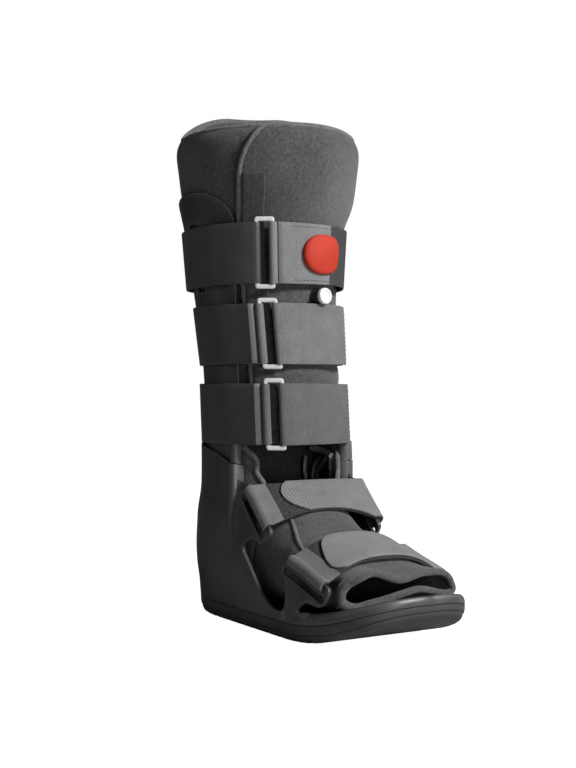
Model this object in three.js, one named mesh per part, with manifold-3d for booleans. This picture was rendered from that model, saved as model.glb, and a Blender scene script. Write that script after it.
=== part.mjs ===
// Tall walking boot: a rocker sole and a plastic foot shell carry two calf uprights,
// a padded liner, three leg straps with rings, two foot straps, a pump bulb and a valve.
// Millimetres, +Z up, toe towards -Y; the origin is on the floor under the middle of the sole.

import * as THREE from 'three';
import { mergeVertices } from 'three/addons/utils/BufferGeometryUtils.js';
import Module from 'manifold-3d';

const wasm = await Module();
wasm.setup();

// Overall sizes; places along the boot are 0 at the ankle, 1 at the heel, -1 at the ball, -2 at the toe
const TOE_REACH = 154;
const HEEL_REACH = 140;
const ANKLE_Y = 66;
const BALL_Y = -70;
const LEG_HEIGHT = 416;
const INSTEP_HEIGHT = 117;
const TOE_ROUNDNESS = 2.9;
const HEEL_ROUNDNESS = 2.3;

// Clearances between flat and between curved faces
const GAP = 0.3;
const CURVED_GAP = 0.6;

// Sole
const SOLE_THICKNESS = 14;
const SOLE_HALF_WIDTH = 60;
const TOE_SPRING = 24.5;
const TOE_SPRING_START = 0.78;
const HEEL_LIFT = 5;
const HEEL_LIFT_START = 0.51;
const SOLE_STEP = 1.6;
const SOLE_TOE_TAPER = 6;
const GROOVE_WIDTH = 3.4;
const GROOVE_DEPTH = 3;
const GROOVE_COUNT = 9;
const GROOVE_PITCH = 21;
const GROOVE_OFFSET = 6;

// Foot shell
const SHELL_WALL = 3;
const SHELL_FLOOR = 3.6;
const SHELL_HEIGHT = 150;
const SHELL_SIDE_PLAY = 1.35;
const SHELL_HEEL_PLAY = 4;
const RIM_HEIGHT = 9.2;
const BAR_HALF_WIDTH = 2.7;
const BAR_END = 5;
const SLOT_OFFSET = 8.5;
const SLOT_HALF_WIDTH = 3;
const BRACKET_ROOT = 5;

// Calf and the padded liner round it
const CALF_HALF_WIDTH = 57;
const CALF_HALF_DEPTH = 62;
const LINER_WALL = 5;
const LINER_SEAM_Z = 100;
const LINER_FLOOR = 6;
const COLLAR_RISE = 36;
const COLLAR_PEAK_ANGLE = 158;
const COLLAR_PEAK_HALF_ANGLE = 15;
const COLLAR_FADE_ANGLE = 85;
const COLLAR_START = 0.74;
const FLAP_EDGE_ANGLE = -49;
const FLAP_UNDER_ANGLE = -8;
const FLAP_RISE_START = 38;
const ANKLE_WINDOW_ANGLE = 50;
const ANKLE_WINDOW_BELOW_SHELL = 2;
const FOOT_LINER_SETBACK = 6;
const FOOT_LINER_ROUNDNESS = 2.3;
const FOOT_SIDE_HEIGHT = 22;
const FOOT_MOUTH_DEPTH = 8;

// Straps and rings
const STRAP_THICKNESS = 2.2;
const STRAP_SIDE_PLAY = 1.5;
const STRAP_ABOVE_SHELL = 0.8;
const LEG_STRAP_WIDTH = 50.8;
const RING_ANGLE = -32;
const RING_WIDTH = 17;
const RING_BAR = 3;
const RING_CAP = 4.6;
const RING_CLEARANCE = 0.75;
const RING_SPACING = 5.85;
const FOLD_END_ANGLE = 52;
const FOOT_STRAP_END = 20;
const FOOT_STRAP_END_ROUND = 12;
const HOOK_STRIP_WIDTH = 15.5;
const HOOK_STRIP_THICKNESS = 1.2;
const HOOK_STRIP_BELOW_RIM = 40;
const HOOK_STRIP_INSET = 5;

// Calf uprights
const UPRIGHT_WALL = 2.5;
const UPRIGHT_BOTTOM = 93;
const UPRIGHT_ABOVE_STRAP = 29.7;
const UPRIGHT_BACK_ANGLE = 136;
const UPRIGHT_FRONT_LEAN = 16.5;
const UPRIGHT_ROUND_TOP = 34;
const UPRIGHT_SLOT_WIDTH = 13;
const UPRIGHT_SLOT_MARGIN = 3.5;
const UPRIGHT_SLOT_ANGLE = 94;
const UPRIGHTS = [
  { name: 'left', side: -1, frontAngle: 50.5 },
  { name: 'right', side: 1, frontAngle: 57.5 },
];

// Pump bulb and valve
const PUMP_RADIUS = 17.5;
const PUMP_HEIGHT = 10;
const PUMP_EDGE = 2;
const PUMP_ANGLE = 5.5;
const VALVE_ANGLE = 8;
const VALVE_ABOVE_STRAP = 1.5;
const VALVE_BODY_RADIUS = 5;
const VALVE_CAP_RADIUS = 7;
const VALVE_LENGTH = 9;
const VALVE_CAP_LENGTH = 4;

// Outside of the leg liner from its seam to its rim: shares of the calf's half width and half depth
const LEG_LEVELS = [
  { height: 0, width: 0.985, depth: 1.0, back: 0 },
  { height: 0.16, width: 0.985, depth: 0.99, back: 0.016 },
  { height: 0.32, width: 0.985, depth: 0.99, back: 0.08 },
  { height: 0.45, width: 0.995, depth: 1.0, back: 0.18 },
  { height: 0.55, width: 1.035, depth: 1.04, back: 0.26 },
  { height: 0.67, width: 1.1, depth: 1.1, back: 0.32 },
  { height: 0.765, width: 1.19, depth: 1.18, back: 0.32 },
  { height: 0.835, width: 1.3, depth: 1.3, back: 0.26 },
  { height: 0.91, width: 1.37, depth: 1.37, back: 0.225 },
  { height: 0.965, width: 1.4, depth: 1.4, back: 0.225 },
  { height: 1.0, width: 1.35, depth: 1.35, back: 0.225 },
];

// Leg straps: place above the lowest, and how much of the leg's taper the strap takes up
const LEG_STRAPS = [
  { name: 'upper', step: 2, taper: 0.55 },
  { name: 'middle', step: 1, taper: 1 },
  { name: 'lower', step: 0, taper: 1 },
];

// Outside of the foot shell: height as a share of the shell's, ball as a share of the sole's half
// width, and how far the heel's width and length have gone from the sole's to the ankle's
const SHELL_LEVELS = [
  { height: 0, ball: 1.0, heelWidth: 0, heelLength: 0 },
  { height: 0.107, ball: 0.985, heelWidth: 0.42, heelLength: -0.2 },
  { height: 0.187, ball: 0.955, heelWidth: 0.92, heelLength: -0.4 },
  { height: 0.307, ball: 0.9, heelWidth: 1.25, heelLength: -0.4 },
  { height: 0.48, ball: 0.805, heelWidth: 1.17, heelLength: 0.2 },
  { height: 0.693, ball: 0.68, heelWidth: 1, heelLength: 1 },
  { height: 0.947, ball: 0.62, heelWidth: 1, heelLength: 1 },
];

// Top edge of the shell from the back to the front: how far it dips, as a share of the shell's height
const SHELL_TOP_EDGE = [
  { along: 0.6, dip: 0.003 },
  { along: 0.26, dip: 0.02 },
  { along: -0.04, dip: 0.053 },
  { along: -0.17, dip: 0.093 },
  { along: -0.243, dip: 0.113 },
];

// Notch in the shell's side between the two brackets, heights as shares of the instep's
const SHELL_NOTCH = [
  { along: -0.427, height: 0.641 },
  { along: -0.331, height: 0.564 },
  { along: -0.456, height: 0.41 },
  { along: -0.544, height: 0.291 },
  { along: -0.61, height: 0.231 },
  { along: -0.691, height: 0.192 },
  { along: -0.779, height: 0.187 },
  { along: -0.816, height: 0.209 },
  { along: -0.831, height: 0.308 },
];

// Bars of the foot strap brackets from rear end to front end: place along the boot, height and the
// strap's crown over the instep as shares of the instep's height
const BRACKETS = [
  { name: 'rear', rear: { along: -0.34, height: 0.983, crown: 0.005 },
    front: { along: -0.582, height: 0.709, crown: 0.085 } },
  { name: 'front', rear: { along: -0.823, height: 0.532, crown: 0.115 },
    front: { along: -1.332, height: 0.403, crown: 0.128 } },
];

// Foot liner from toe to heel: half width as a share of the room inside the shell, top as a share of
// the instep's height, and floor as a share of the padding under the heel
const FOOT_STATIONS = [
  { along: -1.583, width: 0.912, top: 0.5, floor: 1.83 },
  { along: -1.452, width: 0.86, top: 0.534, floor: 1.5 },
  { along: -1.345, width: 0.781, top: 0.547, floor: 1.25 },
  { along: -1.048, width: 0.798, top: 0.603, floor: 1 },
  { along: -0.831, width: 0.825, top: 0.663, floor: 1 },
  { along: -0.706, width: 0.842, top: 0.727, floor: 1 },
  { along: -0.596, width: 0.816, top: 0.803, floor: 1 },
  { along: -0.471, width: 0.833, top: 0.906, floor: 1 },
  { along: -0.353, width: 0.877, top: 1, floor: 1 },
  { along: -0.25, width: 0.909, top: 1.41, floor: 1 },
  { along: -0.132, width: 0.951, top: 1.5, floor: 1 },
  { along: 0, width: 0.975, top: 1.5, floor: 1 },
  { along: 0.261, width: 0.935, top: 1.5, floor: 1 },
  { along: 0.493, width: 0.821, top: 1.5, floor: 1 },
  { along: 0.667, width: 0.667, top: 1.5, floor: 1 },
  { along: 0.797, width: 0.465, top: 1.5, floor: 1 },
  { along: 0.877, width: 0.21, top: 1.5, floor: 1 },
];

const rad = (degrees) => degrees * Math.PI / 180;
const lerp = (a, b, t) => a + (b - a) * t;
const clamp01 = (t) => Math.min(1, Math.max(0, t));
const smooth = (t) => clamp01(t) ** 2 * (3 - 2 * clamp01(t));

function sampleTable(table, key, value, column) {
  const last = table.length - 1;
  if (value <= table[0][key]) return table[0][column];
  if (value >= table[last][key]) return table[last][column];
  const i = table.findIndex((row) => row[key] > value) - 1;
  const t = (value - table[i][key]) / (table[i + 1][key] - table[i][key]);
  return lerp(table[i][column], table[i + 1][column], t);
}

// Place along the boot, with the heel's length given apart
function alongY(along, heelLength = HEEL_REACH - ANKLE_Y) {
  if (along >= 0) return ANKLE_Y + heelLength * along;
  if (along >= -1) return lerp(ANKLE_Y, BALL_Y, -along);
  return lerp(BALL_Y, -TOE_REACH, -along - 1);
}

// Heights that the straps set
const STRAP_PITCH = LEG_STRAP_WIDTH + 2 * (RING_CAP + RING_CLEARANCE) + RING_SPACING;
const strapBottom = ({ step }) => SHELL_HEIGHT + STRAP_ABOVE_SHELL + step * STRAP_PITCH;
const strapTop = (strap) => strapBottom(strap) + LEG_STRAP_WIDTH;
const [UPPER_STRAP, MIDDLE_STRAP] = LEG_STRAPS;
const UPRIGHT_TOP = strapTop(UPPER_STRAP) + UPRIGHT_ABOVE_STRAP;
const VALVE_Z = strapTop(MIDDLE_STRAP) + VALVE_BODY_RADIUS + VALVE_ABOVE_STRAP;
const ANKLE_WINDOW_TOP = SHELL_HEIGHT - ANKLE_WINDOW_BELOW_SHELL;

// Heel of the shell at ankle height, outside the liner and the uprights
const ANKLE_HALF_WIDTH = CALF_HALF_WIDTH * LEG_LEVELS[0].width + CURVED_GAP + UPRIGHT_WALL
  + SHELL_SIDE_PLAY + SHELL_WALL;
const ANKLE_HEEL_LENGTH = CALF_HALF_DEPTH + SHELL_HEEL_PLAY + SHELL_WALL;

// End of a mirrored outline, as rungs from each point to its mirror image
function rungs(ring) {
  const count = ring.length;
  const faces = [];
  for (let i = 0; i < count / 2; i++) {
    const mirror = (count - i) % count;
    const mirrorNext = count - i - 1;
    if (i + 1 !== mirrorNext) faces.push([i, i + 1, mirrorNext]);
    if (i !== mirror) faces.push([i, mirrorNext, mirror]);
  }
  return faces;
}

// Closed surface through rings of equal point count, with both ends triangulated
function loft(rings, capPlane = ['x', 'y'], mirrored = false) {
  const count = rings[0].length;
  const positions = rings.flat().flatMap((p) => [p.x, p.y, p.z]);
  const index = [];
  for (let r = 0; r < rings.length - 1; r++) {
    for (let i = 0; i < count; i++) {
      const j = (i + 1) % count;
      const a = r * count + i;
      const b = r * count + j;
      index.push(a, b, b + count, a, b + count, a + count);
    }
  }
  const capOf = (ring) => {
    const flat = ring.map((p) => new THREE.Vector2(p[capPlane[0]], p[capPlane[1]]));
    if (mirrored) return rungs(ring);
    const faces = THREE.ShapeUtils.triangulateShape(flat, []);
    const turned = THREE.ShapeUtils.isClockWise(flat);
    return turned ? faces.map(([a, b, c]) => [a, c, b]) : faces;
  };
  const lastStart = (rings.length - 1) * count;
  for (const [a, b, c] of capOf(rings[0])) index.push(a, c, b);
  for (const [a, b, c] of capOf(rings[rings.length - 1])) {
    index.push(lastStart + a, lastStart + b, lastStart + c);
  }
  const geometry = new THREE.BufferGeometry();
  geometry.setAttribute('position', new THREE.Float32BufferAttribute(positions, 3));
  geometry.setIndex(index);
  return facingOut(geometry);
}

function facingOut(geometry) {
  const p = geometry.attributes.position;
  const index = Array.from(geometry.index.array);
  const corner = [0, 1, 2].map(() => new THREE.Vector3());
  let volume = 0;
  for (let i = 0; i < index.length; i += 3) {
    corner.forEach((v, k) => v.fromBufferAttribute(p, index[i + k]));
    volume += corner[0].dot(corner[1].clone().cross(corner[2]));
  }
  if (volume < 0) {
    for (let i = 0; i < index.length; i += 3) [index[i + 1], index[i + 2]] = [index[i + 2], index[i + 1]];
    geometry.setIndex(index);
  }
  return geometry;
}

function solid(geometry) {
  const bare = geometry.clone();
  bare.deleteAttribute('normal');
  bare.deleteAttribute('uv');
  const merged = mergeVertices(bare, 1e-4);
  return new wasm.Manifold(new wasm.Mesh({
    numProp: 3,
    vertProperties: new Float32Array(merged.attributes.position.array),
    triVerts: new Uint32Array(merged.index.array),
  }));
}

function geometryOf(manifold) {
  const mesh = manifold.getMesh();
  const geometry = new THREE.BufferGeometry();
  geometry.setAttribute('position', new THREE.BufferAttribute(new Float32Array(mesh.vertProperties), 3));
  geometry.setIndex(new THREE.BufferAttribute(new Uint32Array(mesh.triVerts), 1));
  return geometry;
}

// Outline in the side view (y, z) pulled across the whole width of the boot
function acrossBoot(points, halfSpan = 100) {
  const shape = new THREE.Shape(points.map(([y, z]) => new THREE.Vector2(y, z)));
  const geometry = new THREE.ExtrudeGeometry(shape, { depth: 2 * halfSpan, bevelEnabled: false });
  const basis = new THREE.Matrix4().makeBasis(
    new THREE.Vector3(0, 1, 0), new THREE.Vector3(0, 0, 1), new THREE.Vector3(1, 0, 0));
  geometry.applyMatrix4(basis);
  geometry.translate(-halfSpan, 0, 0);
  return geometry;
}

// How far a place is up the sprung toe, and up the lifted heel
function toeShare(y) {
  const start = alongY(-TOE_SPRING_START);
  return clamp01((start - y) / (start + TOE_REACH));
}

function heelShare(y) {
  const start = alongY(HEEL_LIFT_START);
  return clamp01((y - start) / (HEEL_REACH - start));
}

// Rise of the sole's underside above the floor
function rocker(y) {
  return TOE_SPRING * toeShare(y) ** 2 + HEEL_LIFT * heelShare(y) ** 2;
}

// Half width of the foot outline at a place along it
function outlineHalfWidth(ball, heel, y) {
  if (y >= BALL_Y) return lerp(ball, heel, (y - BALL_Y) / (ANKLE_Y - BALL_Y));
  const t = (BALL_Y - y) / (TOE_REACH + BALL_Y);
  return ball * (1 - t ** TOE_ROUNDNESS) ** (1 / TOE_ROUNDNESS);
}

// Quarter of a rounded corner, from its far end to its side: shares along and across
function cornerShares(power, steps) {
  return Array.from({ length: steps }, (_, k) => {
    const turn = rad(90 * (1 - k / steps));
    return { along: Math.sin(turn) ** (2 / power), across: Math.cos(turn) ** (2 / power) };
  });
}

// Foot-shaped outline in plan: round toe, straight sides, round heel
function footOutline({ ball, heel, heelLength = HEEL_REACH - ANKLE_Y, inset = 0 }, heightAt) {
  const toeLength = TOE_REACH + BALL_Y - inset;
  const toe = cornerShares(TOE_ROUNDNESS, 8).map(({ along, across }) => (
    { x: (ball - inset) * across, y: BALL_Y - toeLength * along }));
  const side = Array.from({ length: 7 }, (_, k) => (
    { x: lerp(ball, heel, k / 6) - inset, y: lerp(BALL_Y, ANKLE_Y, k / 6) }));
  const back = cornerShares(HEEL_ROUNDNESS, 8).reverse().map(({ along, across }) => (
    { x: (heel - inset) * across, y: ANKLE_Y + (heelLength - inset) * along }));
  const half = [...toe, ...side, ...back];
  const others = half.slice(1, -1).reverse().map(({ x, y }) => ({ x: -x, y }));
  return [...half, ...others].map(({ x, y }) => new THREE.Vector3(x, y, heightAt(y)));
}

// Angle that a length takes up round the calf
const degreesFor = (length) => length / CALF_HALF_WIDTH * 180 / Math.PI;

// Outside of the leg liner: point at an angle from the front, at a height, moved out by an offset
function legSection(z) {
  const height = (z - LINER_SEAM_Z) / (LEG_HEIGHT - LINER_SEAM_Z);
  return {
    width: CALF_HALF_WIDTH * sampleTable(LEG_LEVELS, 'height', height, 'width'),
    depth: CALF_HALF_DEPTH * sampleTable(LEG_LEVELS, 'height', height, 'depth'),
    y: ANKLE_Y + CALF_HALF_DEPTH * sampleTable(LEG_LEVELS, 'height', height, 'back'),
  };
}

const levelZ = ({ height }) => lerp(LINER_SEAM_Z, LEG_HEIGHT, height);

function legPoint(angle, z, offset, lift = 0) {
  const { width, depth, y } = legSection(z);
  const turn = rad(angle);
  return new THREE.Vector3(
    (width + offset) * Math.sin(turn), y - (depth + offset) * Math.cos(turn), z + lift);
}

// How far the overlapping flap stands proud of the liner at an angle from the front
function flapRise(angle) {
  if (angle < FLAP_EDGE_ANGLE || angle > FLAP_RISE_START) return 0;
  return (LINER_WALL + GAP) * smooth((FLAP_RISE_START - angle) / (FLAP_RISE_START - FLAP_UNDER_ANGLE - 4));
}

// Closed ribbon outline along a path of points (x, y), thick on both sides of it
function ribbon(path, thickness) {
  const half = thickness / 2;
  const sideOf = (sign) => path.map((p, i) => {
    const before = path[Math.max(0, i - 1)];
    const after = path[Math.min(path.length - 1, i + 1)];
    const along = new THREE.Vector2(after.x - before.x, after.y - before.y).normalize();
    return new THREE.Vector2(p.x - sign * half * along.y, p.y + sign * half * along.x);
  });
  return [...sideOf(1), ...sideOf(-1).reverse()];
}

function addMesh(group, name, geometry, material) {
  const mesh = new THREE.Mesh(geometry, material);
  mesh.name = name;
  group.add(mesh);
}

// Materials
const plastic = new THREE.MeshStandardMaterial({ color: 0x2b2c2e, roughness: 0.5, metalness: 0 });
const rubber = new THREE.MeshStandardMaterial({ color: 0x232425, roughness: 0.8, metalness: 0 });
const fabric = new THREE.MeshStandardMaterial({ color: 0x3a3b3d, roughness: 0.95, metalness: 0 });
const webbing = new THREE.MeshStandardMaterial({ color: 0x55575a, roughness: 0.9, metalness: 0 });
const hook = new THREE.MeshStandardMaterial({ color: 0x3f4144, roughness: 0.9, metalness: 0 });
const ringPlastic = new THREE.MeshStandardMaterial({ color: 0x7b7d80, roughness: 0.4, metalness: 0 });
const pumpRubber = new THREE.MeshStandardMaterial({ color: 0xe8503a, roughness: 0.5, metalness: 0 });
const valveBlack = new THREE.MeshStandardMaterial({ color: 0x1c1d1e, roughness: 0.5, metalness: 0 });
const valveWhite = new THREE.MeshStandardMaterial({ color: 0xf2f2f0, roughness: 0.4, metalness: 0 });

// Outsole: stepped side wall, sprung toe, cross grooves
function outsole() {
  const taper = (y) => SOLE_TOE_TAPER * toeShare(y) ** 3;
  const level = (height, width) => footOutline(
    { ball: SOLE_HALF_WIDTH, heel: SOLE_HALF_WIDTH, inset: width },
    (y) => rocker(y) + height + taper(y) * (1 - height / SOLE_THICKNESS));
  const body = solid(loft([
    level(0, SOLE_STEP * 1.9),
    level(SOLE_THICKNESS * 0.15, SOLE_STEP * 1.2),
    level(SOLE_THICKNESS * 0.45, SOLE_STEP),
    level(SOLE_THICKNESS * 0.52, SOLE_STEP * 0.1),
    level(SOLE_THICKNESS, 0),
  ], ['x', 'y'], true));
  const grooves = [];
  for (let i = 0; i < GROOVE_COUNT; i++) {
    const y = GROOVE_OFFSET + (i - (GROOVE_COUNT - 1) / 2) * GROOVE_PITCH;
    const groove = new THREE.BoxGeometry(3 * SOLE_HALF_WIDTH, GROOVE_WIDTH, 2 * GROOVE_DEPTH);
    groove.translate(0, y, rocker(y));
    grooves.push(solid(groove));
  }
  return geometryOf(grooves.reduce((left, groove) => left.subtract(groove), body));
}

// Foot shell: heel cup, side walls, toe rim and four slotted strap brackets in one moulding
const SHELL_BASE = SOLE_THICKNESS + GAP;
const SHELL_FLOOR_TOP = SHELL_BASE + SHELL_FLOOR;
const RIM_TOP = SHELL_BASE + RIM_HEIGHT;

// The sprung toe's rise fades out up the shell
const rockerShare = (height) => 1 - smooth(height / (SHELL_HEIGHT * 0.4));

function shellBody(inset, base) {
  return solid(loft(SHELL_LEVELS.map(({ height, ball, heelWidth, heelLength }) => {
    const z = height * SHELL_HEIGHT;
    return footOutline({
      ball: ball * SOLE_HALF_WIDTH,
      heel: lerp(SOLE_HALF_WIDTH, ANKLE_HALF_WIDTH, heelWidth),
      heelLength: lerp(HEEL_REACH - ANKLE_Y, ANKLE_HEEL_LENGTH, heelLength),
      inset,
    }, (y) => Math.max(z + SHELL_BASE, base) + rocker(y) * rockerShare(z));
  }), ['x', 'y'], true));
}

const instepPoint = ({ along, height }) => [alongY(along), height * INSTEP_HEIGHT];

// A bracket's bar in the side view: points at a distance along it and an offset out from it
function bracketFrame(bracket) {
  const start = new THREE.Vector2(...instepPoint(bracket.rear));
  const end = new THREE.Vector2(...instepPoint(bracket.front));
  const along = end.clone().sub(start).normalize();
  const out = new THREE.Vector2(along.y, -along.x);
  const at = (distance, offset) => [
    start.x + along.x * distance + out.x * offset,
    start.y + along.y * distance + out.y * offset,
  ];
  return { out, length: end.distanceTo(start), at };
}

// Rounded slot between a bracket's bar and its root
function bracketSlot(bracket) {
  const { length, at } = bracketFrame(bracket);
  const roundEnd = (distance, first) => Array.from({ length: 7 }, (_, k) => {
    const turn = rad(first + 30 * k);
    return at(distance + SLOT_HALF_WIDTH * Math.cos(turn), -SLOT_OFFSET + SLOT_HALF_WIDTH * Math.sin(turn));
  });
  return solid(acrossBoot([...roundEnd(0, 90), ...roundEnd(length, -90)]));
}

// Side view that the shell keeps: top edge, rear bracket, notch, front bracket and toe rim
function shellSideView() {
  const [rear, front] = BRACKETS.map(bracketFrame);
  const edge = BAR_HALF_WIDTH;
  const root = -SLOT_OFFSET - BRACKET_ROOT;
  const beyond = SHELL_HEIGHT;
  const topEdge = SHELL_TOP_EDGE.map(({ along, dip }) => [alongY(along), SHELL_HEIGHT * (1 - dip)]);
  const [frontY] = topEdge[topEdge.length - 1];
  const neckZ = rear.at(-BAR_END, edge)[1] + BAR_END;
  const rim = Array.from({ length: 14 }, (_, k) => {
    const y = alongY(-0.93 - 0.085 * k);
    return [y, RIM_TOP + rocker(y)];
  });
  const underBracketY = alongY(-1.05);
  return [
    [HEEL_REACH + beyond, SHELL_HEIGHT], ...topEdge, [frontY, neckZ],
    rear.at(-BAR_END, edge / 4), rear.at(-BAR_END * 0.6, edge), rear.at(rear.length + BAR_END * 0.6, edge),
    rear.at(rear.length + BAR_END, edge / 4), rear.at(rear.length + BAR_END * 1.1, -SLOT_OFFSET),
    rear.at(rear.length + BAR_END * 0.7, root), ...SHELL_NOTCH.map(instepPoint),
    front.at(BAR_END * 0.4, root - 2), front.at(-BAR_END, -SLOT_OFFSET), front.at(-BAR_END, edge / 4),
    front.at(-BAR_END * 0.6, edge), front.at(front.length + BAR_END * 0.6, edge),
    front.at(front.length + BAR_END * 1.1, 0), front.at(front.length + BAR_END * 1.1, -SLOT_OFFSET - 2),
    front.at(front.length, root - 1.5), [underBracketY, RIM_TOP + RIM_HEIGHT + rocker(underBracketY)],
    ...rim, [-TOE_REACH - beyond, -SOLE_THICKNESS], [HEEL_REACH + beyond, -SOLE_THICKNESS],
  ];
}

function footShell() {
  const outer = shellBody(0, 0);
  const inner = shellBody(SHELL_WALL, SHELL_FLOOR_TOP);
  const kept = solid(acrossBoot(shellSideView()));
  const slots = BRACKETS.map(bracketSlot);
  const walls = outer.subtract(inner).intersect(kept);
  return geometryOf(slots.reduce((left, slot) => left.subtract(slot), walls));
}

// Calf upright: curved side panel with a round top and a strap slot
function upright({ side, frontAngle }) {
  const columns = 12;
  const rows = 9;
  const spread = (k) => 0.5 - 0.5 * Math.cos(Math.PI * k / columns);
  const topAt = (u) => {
    const across = Math.min(Math.abs(2 * u - 1), 0.995);
    return UPRIGHT_TOP - UPRIGHT_ROUND_TOP * (1 - Math.sqrt(1 - across ** 2.4));
  };
  const pointAt = (k, share, offset) => {
    const u = spread(k);
    const z = lerp(UPRIGHT_BOTTOM, topAt(u), share);
    const front = frontAngle + UPRIGHT_FRONT_LEAN * clamp01((UPRIGHT_TOP - z) / UPRIGHT_TOP * 1.5);
    return legPoint(side * lerp(front, UPRIGHT_BACK_ANGLE, u), z, offset);
  };
  const forward = Array.from({ length: columns + 1 }, (_, k) => k);
  const backward = [...forward].reverse();
  const rings = Array.from({ length: rows + 1 }, (_, r) => [
    ...forward.map((k) => pointAt(k, r / rows, CURVED_GAP)),
    ...backward.map((k) => pointAt(k, r / rows, CURVED_GAP + UPRIGHT_WALL)),
  ]);
  const slotZ = (strapTop(UPPER_STRAP) + strapBottom(UPPER_STRAP)) / 2;
  const slotHeight = LEG_STRAP_WIDTH + 2 * UPRIGHT_SLOT_MARGIN;
  const slot = new THREE.BoxGeometry(CALF_HALF_WIDTH, UPRIGHT_SLOT_WIDTH, slotHeight);
  const slotCentre = legPoint(side * UPRIGHT_SLOT_ANGLE, slotZ, 0);
  slot.translate(slotCentre.x, slotCentre.y, slotZ);
  return geometryOf(solid(loft(rings)).subtract(solid(slot)));
}

// Leg liner: padded wrap with one flap laid over the other, open at the front of the ankle
function collarTop(angle) {
  const fromPeak = Math.abs(((angle - COLLAR_PEAK_ANGLE + 900) % 360) - 180);
  return LEG_HEIGHT + COLLAR_RISE * (1 - smooth((fromPeak - COLLAR_PEAK_HALF_ANGLE) / COLLAR_FADE_ANGLE));
}

function wrapPath() {
  const path = [];
  const sweep = 360 + FLAP_UNDER_ANGLE - FLAP_EDGE_ANGLE;
  const steps = 40;
  for (let k = 0; k <= steps; k++) {
    const angle = FLAP_UNDER_ANGLE - sweep * k / steps;
    const outerPass = angle < -180;
    path.push({ angle, rise: outerPass ? flapRise(angle + 360) : 0 });
  }
  return path;
}

function legLiner() {
  const path = wrapPath();
  const rings = LEG_LEVELS.map((level) => {
    const share = clamp01((level.height - COLLAR_START) / (1 - COLLAR_START));
    const side = (offset) => path.map(({ angle, rise }) => {
      const lift = share * (collarTop(angle) - LEG_HEIGHT);
      return legPoint(angle, levelZ(level), rise + offset, lift);
    });
    return [...side(0), ...side(-LINER_WALL).reverse()];
  });
  const wrap = solid(loft(rings));
  const half = Math.sin(rad(ANKLE_WINDOW_ANGLE)) * CALF_HALF_WIDTH;
  const window = new THREE.BoxGeometry(2 * half, 1.3 * CALF_HALF_DEPTH, ANKLE_WINDOW_TOP);
  window.translate(0, ANKLE_Y - CALF_HALF_DEPTH, ANKLE_WINDOW_TOP / 2);
  return geometryOf(wrap.subtract(solid(window)));
}

// Foot liner: padded bootee, open at the toes and into the leg
function stationRing(y, width, bottom, top) {
  const middle = Math.min(bottom + FOOT_SIDE_HEIGHT, (bottom + top) / 2);
  const points = 26;
  return Array.from({ length: points }, (_, k) => {
    const turn = 2 * Math.PI * (k + 0.5) / points;
    const c = Math.cos(turn);
    const s = Math.sin(turn);
    const x = width * Math.sign(c) * Math.abs(c) ** (2 / FOOT_LINER_ROUNDNESS);
    const reach = s > 0 ? top - middle : middle - bottom;
    return new THREE.Vector3(x, y, middle + reach * Math.sign(s) * Math.abs(s) ** (2 / FOOT_LINER_ROUNDNESS));
  });
}

function footLiner() {
  const floorAt = (y) => SHELL_FLOOR_TOP + GAP + rocker(y);
  const heelLength = Math.min(HEEL_REACH - ANKLE_Y, ANKLE_HEEL_LENGTH);
  const stations = FOOT_STATIONS.map(({ along, width, top, floor }) => ({
    y: alongY(along, heelLength),
    width: width * lerp(CALF_HALF_WIDTH, SOLE_HALF_WIDTH - SHELL_WALL, clamp01(-along)),
    top: top * INSTEP_HEIGHT,
    floor: floor * LINER_FLOOR,
  }));
  const outer = stations.map(({ y, width, top }) => stationRing(y, width, floorAt(y), top));
  const inner = stations.slice(0, -1).map(({ y, width, top, floor }, i) => stationRing(
    i === 0 ? y - FOOT_MOUTH_DEPTH : y, width - LINER_WALL, floorAt(y) + floor, top - LINER_WALL));
  const seam = LINER_SEAM_Z - GAP;
  const legFrontY = ANKLE_Y - CALF_HALF_DEPTH * Math.cos(rad(ANKLE_WINDOW_ANGLE)) - 2;
  const edgeY = legFrontY - FOOT_LINER_SETBACK;
  const above = acrossBoot([
    [edgeY - 4 * FOOT_LINER_SETBACK, INSTEP_HEIGHT * 1.09], [edgeY - 0.5 * FOOT_LINER_SETBACK, INSTEP_HEIGHT * 1.02],
    [edgeY + FOOT_LINER_SETBACK, INSTEP_HEIGHT * 0.92], [edgeY + 1.2 * FOOT_LINER_SETBACK, seam],
    [2 * HEEL_REACH, seam], [2 * HEEL_REACH, LEG_HEIGHT], [edgeY - 4 * FOOT_LINER_SETBACK, LEG_HEIGHT],
  ]);
  return geometryOf(solid(loft(outer, ['x', 'z'])).subtract(solid(loft(inner, ['x', 'z'])))
    .subtract(solid(above)));
}

// Hook strip sewn up the outer flap, beside its edge
function hookStrip() {
  const start = FLAP_EDGE_ANGLE + degreesFor(HOOK_STRIP_INSET);
  const bottom = ANKLE_WINDOW_TOP + HOOK_STRIP_INSET;
  const top = LEG_HEIGHT - HOOK_STRIP_BELOW_RIM;
  const between = LEG_LEVELS.map(levelZ).filter((z) => z > bottom + HOOK_STRIP_INSET && z < top - HOOK_STRIP_INSET);
  const rings = [bottom, ...between, top].map((z) => {
    const turn = HOOK_STRIP_WIDTH / legSection(z).width * 180 / Math.PI;
    const side = (offset) => [0, 0.25, 0.5, 0.75, 1].map((u) => {
      const angle = start + u * turn;
      return legPoint(angle, z, flapRise(angle) + offset);
    });
    return [...side(CURVED_GAP), ...side(CURVED_GAP + HOOK_STRIP_THICKNESS).reverse()];
  });
  return loft(rings);
}

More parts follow.
